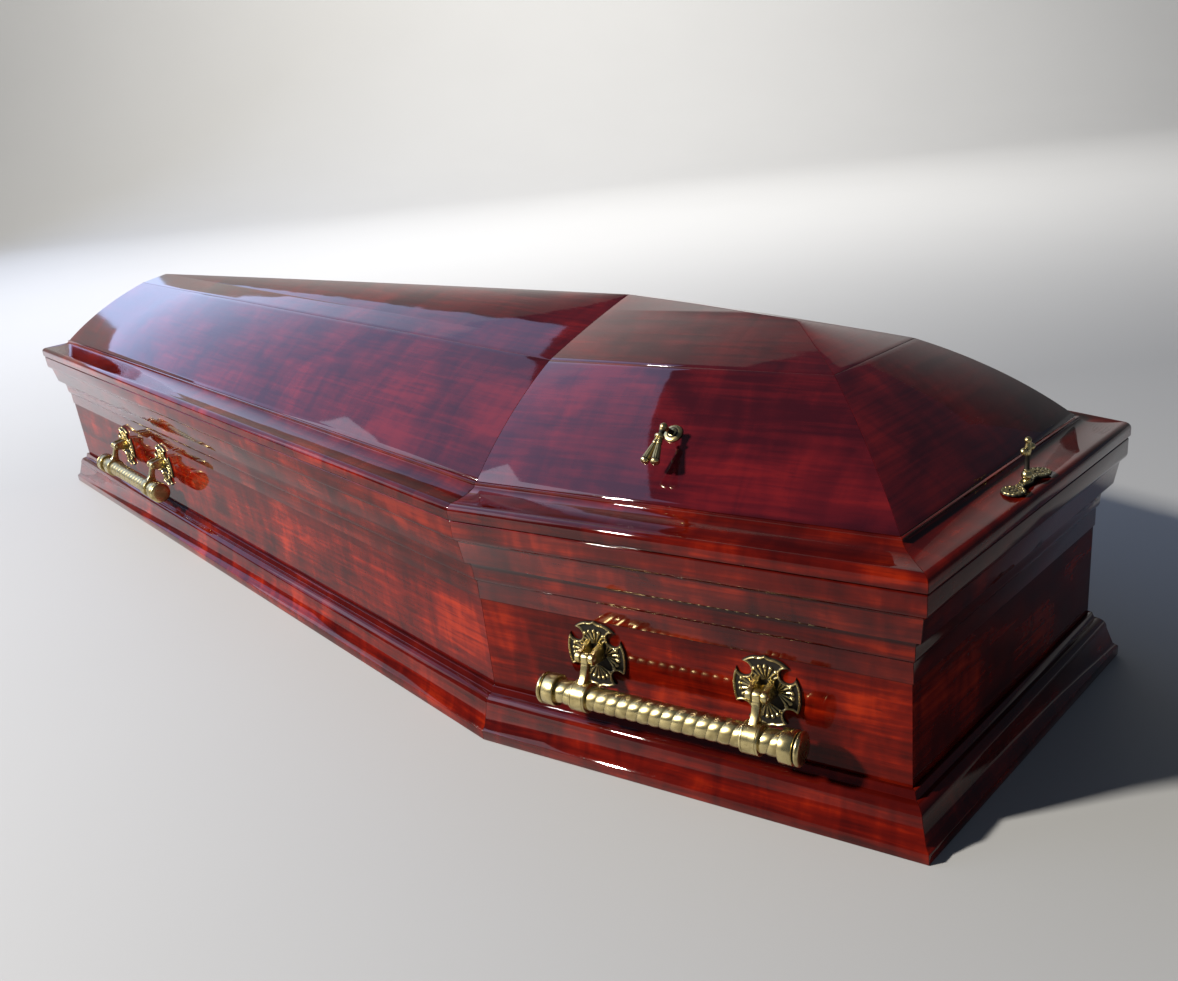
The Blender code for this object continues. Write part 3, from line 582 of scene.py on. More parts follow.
@dataclass(frozen=True)
class PaleFloor:
    """Matt pale floor of the studio."""

    colour: Colour = (0.33, 0.33, 0.325)

    def material(self) -> bpy.types.Material:
        """Build the material.

        Returns:
            The finished material.
        """
        shader = Shader("pale_floor")
        cloud = shader.noise(shader.place(), 1.5, 3.0)
        low = tuple(0.96 * part for part in self.colour)
        shader.set(base_color=shader.blend(cloud, (*low, 1.0), (*self.colour, 1.0)), roughness=0.65)
        return shader.material


def quarter(start: Point, end: Point, rises_first: bool, steps: int = 10) -> list[Point]:
    """Points of a quarter round after start, up to and with end.

    Args:
        start: Where the round starts.
        end: Where it ends.
        rises_first: Whether it leaves the start upwards.
        steps: Number of its stretches.

    Returns:
        The points.
    """
    points = []
    for k in range(1, steps + 1):
        turn = math.pi / 2 * k / steps
        rising, flat = math.sin(turn), 1 - math.cos(turn)
        share_in, share_up = (flat, rising) if rises_first else (rising, flat)
        points.append((start[0] + (end[0] - start[0]) * share_in, start[1] + (end[1] - start[1]) * share_up))
    return points


@dataclass
class Joinery:
    """Boards and mitred mouldings of the box and the lid."""

    plan: Plan
    wall_inset: float = 0.029
    box_height: float = 0.270
    lid_thickness: float = 0.012
    slope_run: float = 0.1325
    slope_rise: float = 0.0997
    slope_bow: float = 0.007
    roof_rise: float = 0.044
    roof_crown: float = 0.002
    curve_steps: int = 28
    edge: float = 0.0005
    spare: float = 0.3
    wall_gloss: float = 1.22
    moulding_gloss: float = 1.34
    finishes: dict[str, bpy.types.Material] = field(default_factory=dict)

    def base_section(self) -> list[Point]:
        """Section of the base moulding as inset against height."""
        back = self.wall_inset - CAD_GAP
        face_foot, face_head = (0.005, 0.016), (0.0115, 0.037)
        cap_foot, cap_head = (0.0225, 0.050), (0.025, 0.058)
        return [(back, 0.0), (0.0, 0.0), (0.0, 0.0115), face_foot, face_head,
                *quarter(face_head, cap_foot, True), cap_head, (back, cap_head[1])]

    def cornice_section(self) -> list[Point]:
        """Section of the cornice as inset against height, from the rim down the outside."""
        back, rim = self.wall_inset - CAD_GAP, self.box_height
        lip, fascia_top, fascia_foot = (0.0045, rim - 0.018), (0.010, rim - 0.025), (0.0145, rim - 0.053)
        cove_top, cove_foot = (0.0185, rim - 0.053), (0.0245, rim - 0.0725)
        bead_foot, tail = (0.0275, rim - 0.080), rim - 0.102
        return [(back, rim), (0.0060, rim), (0.0045, rim - 0.0015), lip, *quarter(lip, fascia_top, True),
                fascia_foot, cove_top, *quarter(cove_top, cove_foot, False),
                *quarter(cove_foot, bead_foot, True),
                (bead_foot[0], tail), (back, tail)]

    @property
    def brim_arris(self) -> Point:
        """Sharp outer arris of the lid's brim."""
        return (0.0105, self.box_height + CAD_GAP + 0.0175)

    @property
    def cove_end(self) -> Point:
        """Inner end of the brim's cove."""
        return (0.046, self.brim_arris[1] + 0.0085)

    @property
    def slope_foot(self) -> Point:
        """Where the bowed slope starts."""
        return (0.049, self.cove_end[1] + 0.002 + CAD_GAP)

    @property
    def lid_break(self) -> Point:
        """Where the slope meets the roof."""
        return (self.slope_foot[0] + self.slope_run, self.slope_foot[1] + self.slope_rise)

    def slope_point(self, share: float, depth: float = 0.0) -> Point:
        """Point on the bowed slope, or as far below its surface as depth.

        Args:
            share: Share of the way up.
            depth: Depth below the outer surface.

        Returns:
            Its inset and height.
        """
        chord = math.hypot(self.slope_run, self.slope_rise)
        normal = (-self.slope_rise / chord, self.slope_run / chord)
        bow = 4 * self.slope_bow * share * (1 - share)
        steep = 4 * self.slope_bow * (1 - 2 * share)
        along = (self.slope_run + normal[0] * steep, self.slope_rise + normal[1] * steep)
        length = math.hypot(*along)
        return (self.slope_foot[0] + self.slope_run * share + normal[0] * bow + depth * along[1] / length,
                self.slope_foot[1] + self.slope_rise * share + normal[1] * bow - depth * along[0] / length)

    def slope_share(self, axis: int, target: float) -> float:
        """Share of the way up at which the under surface meets an inset (axis 0) or a height (axis 1)."""
        low, high = -0.5, 1.5
        for _ in range(40):
            middle = (low + high) / 2
            if self.slope_point(middle, self.lid_thickness)[axis] < target:
                low = middle
            else:
                high = middle
        return (low + high) / 2

    def brim_section(self) -> list[Point]:
        """Section of the lid's brim as inset against height."""
        foot = self.box_height + CAD_GAP
        back = self.slope_point(self.slope_share(1, self.slope_foot[1]), self.lid_thickness)[0]
        edge_top = (0.003, foot + 0.0095)
        top = self.slope_foot[1] - CAD_GAP
        return [(back, foot), (0.0045, foot), (0.003, foot + 0.0015), edge_top,
                *quarter(edge_top, self.brim_arris, True),
                *quarter(self.brim_arris, self.cove_end, False, 14),
                (self.cove_end[0], top), (back, top)]

    def slope_section(self) -> list[Point]:
        """Section of the slope: outer curve up, under curve back down."""
        steps = self.curve_steps
        foot, head = self.slope_share(1, self.slope_foot[1]), self.slope_share(0, self.lid_break[0] - SEAM)
        outer = [self.slope_point(k / steps) for k in range(steps)]
        outer.append((self.lid_break[0] - SEAM, self.lid_break[1]))
        under = [self.slope_point(foot + (head - foot) * k / 8, self.lid_thickness) for k in range(8, -1, -1)]
        return outer + under

    def roof_section(self) -> list[Point]:
        """Section of the roof from the break line to the ridge."""
        ridge = self.plan.closing_inset(1)
        run = ridge - self.lid_break[0]
        outer = []
        for k in range(self.curve_steps + 1):
            share = k / self.curve_steps
            height = self.roof_rise * share + 4 * self.roof_crown * share * (1 - share)
            outer.append((self.lid_break[0] + SEAM + run * share * 1.02, self.lid_break[1] + height))
        drop = self.lid_thickness / math.cos(math.atan2(self.roof_rise, run))
        return outer + [(outer[-1][0], outer[-1][1] - drop), (outer[0][0], outer[0][1] - drop)]

    def length(self, kind: str, side: Side, section: Sequence[Point],
               middle: bool = False) -> bpy.types.Object:
        """One mitred length along a side.

        Args:
            kind: Kind of length, as the nodes spell it.
            side: Side that it runs along.
            section: Its section as inset against height.
            middle: Whether it is also cut at the coffin's middle plane.

        Returns:
            The finished length.
        """
        plan = self.plan
        corners, along, inward = plan.corners(), plan.direction(side), plan.inward(side)
        start, reach = corners[side], plan.length(side) + 2 * self.spare
        points = [start - along * self.spare + inward * inset + Vector((0.0, 0.0, height))
                  for inset, height in section]
        piece = Bench.pushed(f"{kind}_lacquered_{side.label}", points, along * reach)
        for corner, way in ((side, -1.0), (side + 1, 1.0)):
            mitre = plan.mitre(corner)
            outwards = Vector((mitre.y, -mitre.x, 0.0))
            outwards *= way if outwards.dot(along) > 0 else -way
            Bench.cut(piece, corners[corner % 6] - outwards * SEAM, outwards)
        if middle:
            outwards = Vector((0.0, 1.0 if inward.y > 0 else -1.0, 0.0))
            if abs(inward.y) > 0.5:
                Bench.cut(piece, -outwards * SEAM, outwards)
        Bench.soften(piece, self.edge)
        piece.data.materials.append(self.finish(kind, side))
        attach(piece, COFFIN_BODY)
        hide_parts(f"{kind}_{side.label}")
        LOG.info("%s: %d faces", piece.name, len(piece.data.polygons))
        return piece

    def finish(self, kind: str, side: Side) -> bpy.types.Material:
        """The lacquer of one kind of piece on one side, made once."""
        name = f"lacquer_{kind}_{side.label}"
        if name not in self.finishes:
            # Painted shade by height for each kind of piece: share of the dark colour, darker in the coves
            # and steps of the mouldings, on the wall under the cornice and at its foot, and along the lid's
            # creases.
            dark = {"wall": ((0.0, 0.75), (0.055, 0.70), (0.078, 0.10), (0.145, 0.05), (0.172, 0.85),
                             (0.45, 0.9)),
                    "base_moulding": ((0.0, 0.25), (0.012, 0.15), (0.017, 0.55), (0.022, 0.10),
                                      (0.036, 0.20), (0.046, 0.75), (0.058, 0.80)),
                    "cornice": ((0.0, 0.5), (0.168, 0.45), (0.186, 0.55), (0.192, 0.85), (0.199, 0.35),
                                (0.214, 0.80), (0.219, 0.30), (0.240, 0.10), (0.249, 0.65),
                                (0.256, 0.35), (0.27, 0.7)),
                    "lid_brim": ((0.0, 0.6), (0.270, 0.75), (0.275, 0.10), (0.281, 0.15), (0.288, 0.6),
                                 (0.30, 0.5)),
                    "lid_slope": ((0.0, 0.25), (0.300, 0.45), (0.318, 0.12), (0.385, 0.15), (0.400, 0.40)),
                    "lid_roof": ((0.0, 0.25), (0.398, 0.45), (0.404, 0.15), (0.45, 0.15))}
            shift = 3.1 * side + 7.7 * sorted(dark).index(kind)
            stain: dict[str, Any] = {"ior": self.wall_gloss if kind == "wall" else self.moulding_gloss}
            if kind in ("lid_slope", "lid_roof"):
                stain = {"dark": (0.026, 0.0024, 0.0050), "middle": (0.076, 0.0042, 0.0066),
                         "bright": (0.120, 0.0062, 0.0070)}
            lacquer = Mahogany(name, self.plan.angle(side), shift, toning=dark[kind], **stain)
            self.finishes[name] = lacquer.material()
        return self.finishes[name]

    def build(self) -> None:
        """Make every length, and dress the boards that stay as they are."""
        for side in Side:
            self.length("base_moulding", side, self.base_section())
            self.length("cornice", side, self.cornice_section())
            self.length("lid_brim", side, self.brim_section())
            self.length("lid_slope", side, self.slope_section())
            self.length("lid_roof", side, self.roof_section(), middle=True)
            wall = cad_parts[f"wall_{side.label}"]
            wall.data.materials.clear()
            wall.data.materials.append(self.finish("wall", side))
        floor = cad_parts["floor_board"]
        floor.data.materials.clear()
        floor.data.materials.append(Mahogany("lacquer_floor_board", 0.0, 2.0, flame=0.2).material())


class Casting:
    """What all brass pieces share: the recess attribute and the finish."""

    finish: bpy.types.Material | None = None

    @staticmethod
    def age(piece: bpy.types.Object, rounds: int = 10, depth: float = 0.00030,
            ground: float | None = None, proud: float = 0.0011) -> None:
        """Store how far each vertex is recessed, from 0 to 1.

        A vertex is recessed where it lies under the smoothed surface round it, or near a relief's ground.

        Args:
            piece: Brass piece.
            rounds: How far the surface is smoothed.
            depth: Depth that counts as fully recessed.
            ground: Height of a relief's ground, which is fully recessed too.
            proud: How far a relief stands over its ground where it is rubbed bright.
        """
        mesh = piece.data
        count = len(mesh.vertices)
        places, normals = np.zeros((count, 3)), np.zeros((count, 3))
        edges = np.zeros((len(mesh.edges), 2), dtype=np.int64)
        mesh.vertices.foreach_get("co", places.reshape(-1))
        mesh.vertices.foreach_get("normal", normals.reshape(-1))
        mesh.edges.foreach_get("vertices", edges.reshape(-1))
        neighbours = np.maximum(np.bincount(edges.reshape(-1), minlength=count), 1)[:, None]
        smooth = places.copy()
        for _ in range(rounds):
            total = np.zeros_like(smooth)
            np.add.at(total, edges[:, 0], smooth[edges[:, 1]])
            np.add.at(total, edges[:, 1], smooth[edges[:, 0]])
            smooth = 0.5 * smooth + 0.5 * total / neighbours
        sunk = np.einsum("ij,ij->i", smooth - places, normals)
        share = np.clip(0.5 + 0.5 * sunk / depth, 0.0, 1.0)
        if ground is not None:
            share = np.maximum(0.8 * share, np.clip(1.0 - (places[:, 2] - ground) / proud, 0.0, 1.0))
        layer = mesh.attributes.new("recess", "FLOAT", "POINT")
        layer.data.foreach_set("value", share.astype(np.float32))

    @staticmethod
    def dress(piece: bpy.types.Object, body: str, node: str | None) -> None:
        """Give a brass piece its finish and its body, and hide the node that it stands for.

        Args:
            piece: Finished piece.
            body: Body that it rides on.
            node: Node that it replaces, if any.
        """
        if Casting.finish is None:
            Casting.finish = Brass("antique_brass_cast").material()
        piece.data.materials.clear()
        piece.data.materials.append(Casting.finish)
        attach(piece, body)
        if node is not None:
            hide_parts(node)
        LOG.info("%s: %d faces", piece.name, len(piece.data.polygons))


def bump(distance: np.ndarray, width: float) -> np.ndarray:
    """A round-topped rise that is 1 at distance 0 and 0 from width on."""
    return np.sqrt(np.clip(1.0 - (distance / width) ** 2, 0.0, 1.0))


def step_up(value: np.ndarray, low: float, high: float) -> np.ndarray:
    """Smooth step from 0 at low to 1 at high."""
    share = np.clip((value - low) / (high - low), 0.0, 1.0)
    return share * share * (3 - 2 * share)


@dataclass
class Rosette(Casting):
    """Cast plate with four shell fans, round bites between them, two lugs and a pin."""

    half_width: float = 0.0356
    half_height: float = 0.0380
    squareness: float = 2.2
    thickness: float = 0.0018
    centre_drop: float = 0.006
    pin_reach: float = 0.021
    upper_bite: tuple[float, float, float] = (0.0226, 0.0208, 0.0078)
    lower_bite: tuple[float, float, float] = (0.0250, -0.0240, 0.0086)
    rim_width: float = 0.0013
    rim_height: float = 0.0017
    cusp: float = 0.0012
    spacing: float = 0.00050
    fan_root: float = 0.011
    fan_reach: float = 0.0165
    ribs: int = 6
    rib_step: float = math.radians(21.0)
    bead_radius: float = 0.0020
    lug_thickness: float = 0.006
    lug_centre: float = 0.008
    lug_eye: float = 0.0065

    def inside(self, across: np.ndarray, up: np.ndarray) -> np.ndarray:
        """Distance inside the outline; it is negative outside."""
        power = self.squareness
        share_across, share_up = np.abs(across) / self.half_width, np.abs(up) / self.half_height
        share = (share_across ** power + share_up ** power) ** (1 / power)
        reach = np.hypot(across, up)
        turn = np.arctan2(np.abs(across), np.abs(up))
        point = self.cusp * (np.exp(-(turn / 0.05) ** 2) - 0.6 * np.exp(-((turn - 0.17) / 0.09) ** 2))
        distance = reach / np.maximum(share, 1e-6) * (1 - share) + point
        for bite_across, bite_up, radius in (self.upper_bite, self.lower_bite):
            for hand in (-1, 1):
                distance = np.minimum(distance, np.hypot(across - hand * bite_across, up - bite_up) - radius)
        return distance

    def fan(self, out: np.ndarray, aside: np.ndarray, reach: float) -> np.ndarray:
        """Relief of one shell fan.

        Args:
            out: Distance from the plate's middle along the fan.
            aside: Distance beside the fan's middle line.
            reach: Distance from the middle at which the beads stand.

        Returns:
            Height over the plate.
        """
        away = np.hypot(out - self.fan_root, aside)
        turn = np.arctan2(aside, out - self.fan_root)
        spread = self.rib_step * self.ribs / 2
        window = step_up(spread - np.abs(turn), -0.12, 0.05) * (out > self.fan_root)
        ribs = bump(np.mod(turn / self.rib_step + 0.5, 1.0) - 0.5, 0.26)
        body = step_up(away, 0.001, 0.004) * (1 - step_up(away, reach - 0.001, reach + 0.0012))
        relief = window * body * 0.0013 * ribs
        for k in range(self.ribs + 1):
            angle = self.rib_step * (k - self.ribs / 2)
            bead = np.hypot(out - self.fan_root - reach * math.cos(angle), aside - reach * math.sin(angle))
            relief = np.maximum(relief, 0.0005 + 0.0021 * bump(bead, self.bead_radius)
                                - 0.01 * (bead > self.bead_radius))
        return relief

    def level(self, across: np.ndarray, up: np.ndarray) -> np.ndarray:
        """Height of the plate's front over its back."""
        inside = self.inside(across, up)
        tilt = math.radians(8.0)
        fans = [self.fan(up, across, self.fan_reach), self.fan(-up, across, self.fan_reach)]
        for hand in (-1, 1):
            out = hand * across * math.cos(tilt) + up * math.sin(tilt)
            fans.append(self.fan(out, up * math.cos(tilt) - hand * across * math.sin(tilt), self.fan_reach))
        relief = np.maximum.reduce(fans + [0.0024 * bump(np.hypot(across, up), 0.0075)])
        rim = self.rim_height * bump(inside - 1.15 * self.rim_width, self.rim_width)
        front = self.thickness + np.maximum(relief * step_up(inside, 0.0016, 0.0026), rim)
        return np.minimum(front, 3.2 * inside)

    def lug(self, name: str, hand: int) -> bpy.types.Object:
        """One cheek beside the arm, from the plate out to the pin."""
        root = self.pin_reach - self.thickness
        points = [(root, 0.0105), (root, -0.010)]
        for k in range(13):
            turn = -math.pi / 2 - math.pi * k / 12
            points.append((self.lug_eye * math.cos(turn), self.lug_eye * math.sin(turn)))
        points.append((0.006, 0.0078))
        inner = self.lug_centre - self.lug_thickness / 2
        outline = [Vector((hand * inner, depth, height)) for depth, height in points]
        piece = Bench.pushed(name, outline, Vector((hand * self.lug_thickness, 0.0, 0.0)))
        Bench.soften(piece, 0.0009, 3)
        return piece

    def pattern(self) -> bpy.types.Object:
        """The whole rosette about its pin: X along the side, Y towards the wall, Z up."""
        width, height = 2 * RELIEF_MARGIN * self.half_width, 2 * RELIEF_MARGIN * self.half_height
        plate = Bench.relief("rosette_pattern", width, height, self.spacing, self.level)
        upright = Matrix(((1, 0, 0, 0), (0, 0, -1, self.pin_reach - CAD_GAP), (0, 1, 0, -self.centre_drop),
                          (0, 0, 0, 1)))
        Casting.age(plate, 6, 0.0005, self.thickness)
        plate.data.transform(upright)
        Bench.soften(plate, 0.0, angle=60.0)
        cheeks = [self.lug("lug_left", -1), self.lug("lug_right", 1)]
        half = self.lug_centre + self.lug_thickness / 2
        head = [(0.0032 * math.sin(math.pi / 2 * k / 5), -half - 0.0012 * math.cos(math.pi / 2 * k / 5))
                for k in range(1, 6)]
        pin = Bench.turned("pin", head + [(radius, -height) for radius, height in reversed(head)], 24)
        pin.data.transform(Matrix.Rotation(math.pi / 2, 4, "Y"))
        Bench.soften(pin, 0.0, angle=50.0)
        for part in (*cheeks, pin):
            Casting.age(part, 3, 0.0006)
        return Bench.joined([plate, *cheeks, pin])


@dataclass
class Arm(Casting):
    """Swinging arm: an eye at the pin, a strap, and a collar round the bar."""

    length: float = 0.0405
    lean: float = math.radians(19.0)
    thickness: float = 0.008
    depth: float = 0.008
    eye: float = 0.006
    collar_radius: float = 0.0161
    collar_length: float = 0.020

    def bar_place(self) -> Vector:
        """Centre of the bar as seen from the pin."""
        return Vector((0.0, -self.length * math.sin(self.lean), -self.length * math.cos(self.lean)))

    def strap(self) -> bpy.types.Object:
        """The strap from the eye to the collar."""
        down = self.bar_place().normalized()
        sideways = Vector((0.0, down.z, -down.y))
        outline = [(math.cos(math.pi * k / 14) * self.eye, -math.sin(math.pi * k / 14) * self.eye)
                   for k in range(15)]
        half, foot = self.depth / 2, self.length - self.collar_radius
        flare = [(half * (1 + 1.1 * (k / 8) ** 3), self.eye + (foot + 0.003 - self.eye) * k / 8)
                 for k in range(9)]
        outline += [(-side, along) for side, along in flare]
        outline += [(side, along) for side, along in reversed(flare)]
        start = Vector((-self.thickness / 2, 0.0, 0.0))
        points = [start + sideways * side + down * along for side, along in outline]
        piece = Bench.pushed("strap", points, Vector((self.thickness, 0.0, 0.0)))
        Bench.soften(piece, 0.0010, 3)
        return piece

    def collar(self) -> bpy.types.Object:
        """The plain ring round the bar, with a fine shoulder line near each end."""
        half, radius = self.collar_length / 2, self.collar_radius
        line, fine = 0.0030, 0.0005
        side = [(radius - 0.0022, half), (radius - 0.0004, half - 0.0006), (radius, half - 0.0014),
                (radius, half - line + fine), (radius - fine, half - line), (radius, half - line - fine)]
        stations = [(r, -h) for r, h in side] + [(r, h) for r, h in reversed(side)]
        piece = Bench.turned("collar", stations, 56)
        piece.data.transform(Matrix.Translation(self.bar_place()) @ Matrix.Rotation(math.pi / 2, 4, "Y"))
        Bench.soften(piece, 0.0, angle=40.0)
        return piece

    def pattern(self) -> bpy.types.Object:
        """The whole arm about its pin."""
        whole = Bench.joined([self.collar(), self.strap()])
        Casting.age(whole, 4, 0.0004)
        return whole


@dataclass
class Bar(Casting):
    """Rope-twisted bar with a turned cap on each end."""

    length: float = 0.294
    radius: float = 0.013
    groove: float = 0.0013
    pitch: float = 0.0256
    strands: int = 2
    facets: int = 64
    step: float = 0.00070
    cap_radius: float = 0.017
    cap_length: float = 0.014
    neck_length: float = 0.002
    button_length: float = 0.005

    def twist(self) -> bpy.types.Object:
        """The twisted stretch between the caps, along X."""
        Bench.start()
        bpy.ops.mesh.primitive_circle_add(vertices=self.facets, radius=self.radius, fill_type="NOTHING")
        piece = bpy.context.active_object
        piece.name = piece.data.name = "twist"
        reach = self.length - 2 * (self.cap_length + self.neck_length + self.button_length) + 0.004
        piece.data.transform(Matrix.Translation((0.0, 0.0, -reach / 2)))
        screw = piece.modifiers.new("drawn", "SCREW")
        screw.angle = 0.0
        screw.screw_offset = reach
        screw.steps = screw.render_steps = round(reach / self.step)
        screw.use_merge_vertices = False
        bpy.ops.object.modifier_apply(modifier=screw.name)
        for vertex in piece.data.vertices:
            around = math.atan2(vertex.co.y, vertex.co.x)
            turn = self.strands * (around + 2 * math.pi * vertex.co.z / self.pitch)
            shrink = 1 - self.groove / self.radius * (1 - math.sqrt(abs(math.cos(turn / 2))))
            vertex.co.x *= shrink
            vertex.co.y *= shrink
        bpy.ops.object.mode_set(mode="EDIT")
        bpy.ops.mesh.select_all(action="SELECT")
        bpy.ops.mesh.fill_holes(sides=0)
        bpy.ops.mesh.normals_make_consistent(inside=False)
        bpy.ops.object.mode_set(mode="OBJECT")
        Bench.soften(piece, 0.0, angle=62.0)
        return piece

    def cap(self, hand: int) -> bpy.types.Object:
        """One turned cap: a plain drum, a dark groove and a rounded button."""
        end, radius = self.length / 2, self.cap_radius
        button = end - self.button_length
        neck = button - self.neck_length
        start = neck - self.cap_length
        stations = [(radius - 0.0030, start + 0.0004), (radius - 0.0009, start),
                    (radius - 0.0002, start + 0.0004),
                    (radius, start + 0.0012), (radius, neck - 0.0010), (radius - 0.0006, neck - 0.0002),
                    (radius - 0.0026, neck + 0.0002), (radius - 0.0026, button - 0.0002),
                    (radius - 0.0007, button + 0.0001), (radius - 0.0001, button + 0.0009),
                    (radius, button + 0.0020), (radius - 0.0004, end - 0.0018),
                    (radius - 0.0014, end - 0.0008),
                    (radius - 0.0030, end - 0.0003), (radius - 0.0070, end), (radius - 0.0130, end)]
        piece = Bench.turned(f"cap_{hand}", stations, 64)
        piece.data.transform(Matrix.Diagonal((1.0, 1.0, float(hand), 1.0)))
        if hand < 0:
            piece.data.flip_normals()
        Bench.soften(piece, 0.0, angle=48.0)
        return piece

    def pattern(self) -> bpy.types.Object:
        """The whole bar along X, about its own axis."""
        whole = Bench.joined([self.twist(), self.cap(-1), self.cap(1)])
        whole.data.transform(Matrix.Rotation(math.pi / 2, 4, "Y"))
        Casting.age(whole, 8, 0.00045)
        return whole


@dataclass
class Handles:
    """The four swing-bar handles on their rosettes."""

    plan: Plan
    rosette: Rosette = field(default_factory=Rosette)
    arm: Arm = field(default_factory=Arm)
    bar: Bar = field(default_factory=Bar)
    head_at: float = 0.250
    foot_at: float = 0.420
    spacing: float = 0.193
    wall_inset: float = 0.029
    pin_height: float = 0.135

    def places(self) -> dict[Side, float]:
        """Middle of each handle, along its side."""
        return {Side.FOOT_NEAR: self.foot_at, Side.HEAD_NEAR: self.head_at,
                Side.HEAD_FAR: self.plan.length(Side.HEAD_FAR) - self.head_at,
                Side.FOOT_FAR: self.plan.length(Side.FOOT_FAR) - self.foot_at}

    def build(self) -> None:
        """Model each casting once and hang its copies."""
        rosette, arm, bar = self.rosette.pattern(), self.arm.pattern(), self.bar.pattern()
        for side, distance in self.places().items():
            inset = self.wall_inset - self.rosette.pin_reach
            axis = self.plan.side_frame(side, distance, inset, self.pin_height)
            body = f"handle_{side.label}"
            for label, hand in (("a", -1), ("b", 1)):
                place = axis @ Matrix.Translation((hand * self.spacing / 2, 0.0, 0.0))
                end = f"{side.label}_{label}"
                plate = Bench.copied(rosette, f"rosette_cast_{end}", place)
                Casting.dress(plate, COFFIN_BODY, f"rosette_{end}")
                swinging = Bench.copied(arm, f"arm_cast_{end}", place)
                Casting.dress(swinging, body, f"handle_arm_{end}")
            place = axis @ Matrix.Translation(self.arm.bar_place())
            rope = Bench.copied(bar, f"bar_cast_{side.label}", place)
            Casting.dress(rope, body, f"handle_bar_{side.label}")
        for pattern in (rosette, arm, bar):
            Bench.discard(pattern)


@dataclass
class Tassels(Casting):
    """Cast ornament on the near head slope: plate, leaning post, knob, ring knot and two fluted tassels."""

    plan: Plan
    joinery: Joinery
    distance: float = 0.222
    share_up: float = 0.47
    reach: float = 0.021
    hang: float = 0.006
    neck: float = 0.013
    tassel: float = 0.030
    spread: float = math.radians(9.5)
    flutes: int = 11

    def frame(self) -> Matrix:
        """Frame on the slope: X along the side, Y up the slope, Z out of it."""
        inset, height = self.joinery.slope_point(self.share_up)
        ahead = self.joinery.slope_point(self.share_up + 0.01)
        pitch = math.atan2(ahead[1] - height, ahead[0] - inset)
        seat = self.plan.side_frame(Side.HEAD_NEAR, self.distance, inset, height)
        return seat @ Matrix.Rotation(pitch, 4, "X")

    def one_tassel(self, name: str) -> bpy.types.Object:
        """One tassel along Z: bead rings, a fluted skirt and a banded end."""
        length = self.tassel
        rings = [(0.0014, 0.0), (0.0022, 0.0006), (0.0026, 0.0014), (0.0022, 0.0022), (0.0025, 0.0026),
                 (0.0030, 0.0036), (0.0025, 0.0046), (0.0027, 0.0050), (0.0032, 0.0060), (0.0027, 0.0070),
                 (0.0024, 0.0074)]
        skirt = [(0.0026 + 0.0018 * (k / 10) ** 0.8, 0.0080 + (length - 0.0118) * k / 10) for k in range(11)]
        hem = [(0.0047, length - 0.0034), (0.0047, length - 0.0022), (0.0042, length - 0.0017),
               (0.0043, length - 0.0010), (0.0034, length - 0.0003), (0.0015, length)]
        piece = Bench.turned(name, rings + skirt + hem, 66)
        for vertex in piece.data.vertices:
            if 0.0082 < vertex.co.z < length - 0.0040:
                turn = math.atan2(vertex.co.y, vertex.co.x)
                shrink = 1 - 0.13 * (1 - abs(math.cos(turn * self.flutes / 2)) ** 0.8)
                vertex.co.x *= shrink
                vertex.co.y *= shrink
        Bench.soften(piece, 0.0, angle=55.0)
        return piece

    def build(self) -> None:
        """Cast the ornament and set it on its slope."""
        plate = Bench.turned("tassel_plate", [(0.0100, CAD_GAP), (0.0100, 0.0012), (0.0092, 0.0022),
                                              (0.0070, 0.0026), (0.0050, 0.0030), (0.0034, 0.0042)], 40)
        lean = math.atan2(self.hang, self.reach)
        post = Bench.turned("tassel_post", [(0.0034, 0.0020), (0.0027, 0.0050), (0.0025, 0.0140),
                                            (0.0028, math.hypot(self.hang, self.reach))], 28)
        post.data.transform(Matrix.Rotation(lean, 4, "X"))
        knob = Bench.ball("tassel_knob", 0.0042, Vector((0.0, 0.0, 0.0)), 28)
        neck = Bench.turned("tassel_neck", [(0.0033, 0.0), (0.0036, 0.0030), (0.0030, 0.0050),
                                            (0.0027, 0.0080), (0.0030, self.neck)], 28)
        Bench.start()
        bpy.ops.mesh.primitive_torus_add(major_radius=0.0034, minor_radius=0.0020, major_segments=36,
                                         minor_segments=16, location=(0.0, 0.0, self.neck - 0.0012))
        knot = bpy.context.active_object
        bpy.ops.object.transform_apply(location=True, rotation=True, scale=True)
        tassels = []
        for hand in (-1, 1):
            tassel = self.one_tassel(f"tassel_{hand}")
            tassel.data.transform(Matrix.Translation((hand * 0.0012, 0.0, self.neck))
                                  @ Matrix.Rotation(hand * self.spread, 4, "Y"))
            tassels.append(tassel)
        hanging = Matrix.Translation((0.0, -self.hang, self.reach)) @ Matrix.Rotation(math.pi / 2, 4, "X")
        for part in (knob, neck, knot, *tassels):
            part.data.transform(hanging)
        for part in (plate, post, knob, neck, knot):
            Bench.soften(part, 0.0, angle=50.0)
        whole = Bench.joined([plate, post, knob, neck, knot, *tassels])
        whole.name = whole.data.name = "tassel_ornament_cast"
        Casting.age(whole, 4, 0.00022)
        whole.data.transform(self.frame())
        Casting.dress(whole, COFFIN_BODY, "tassel_ornament")


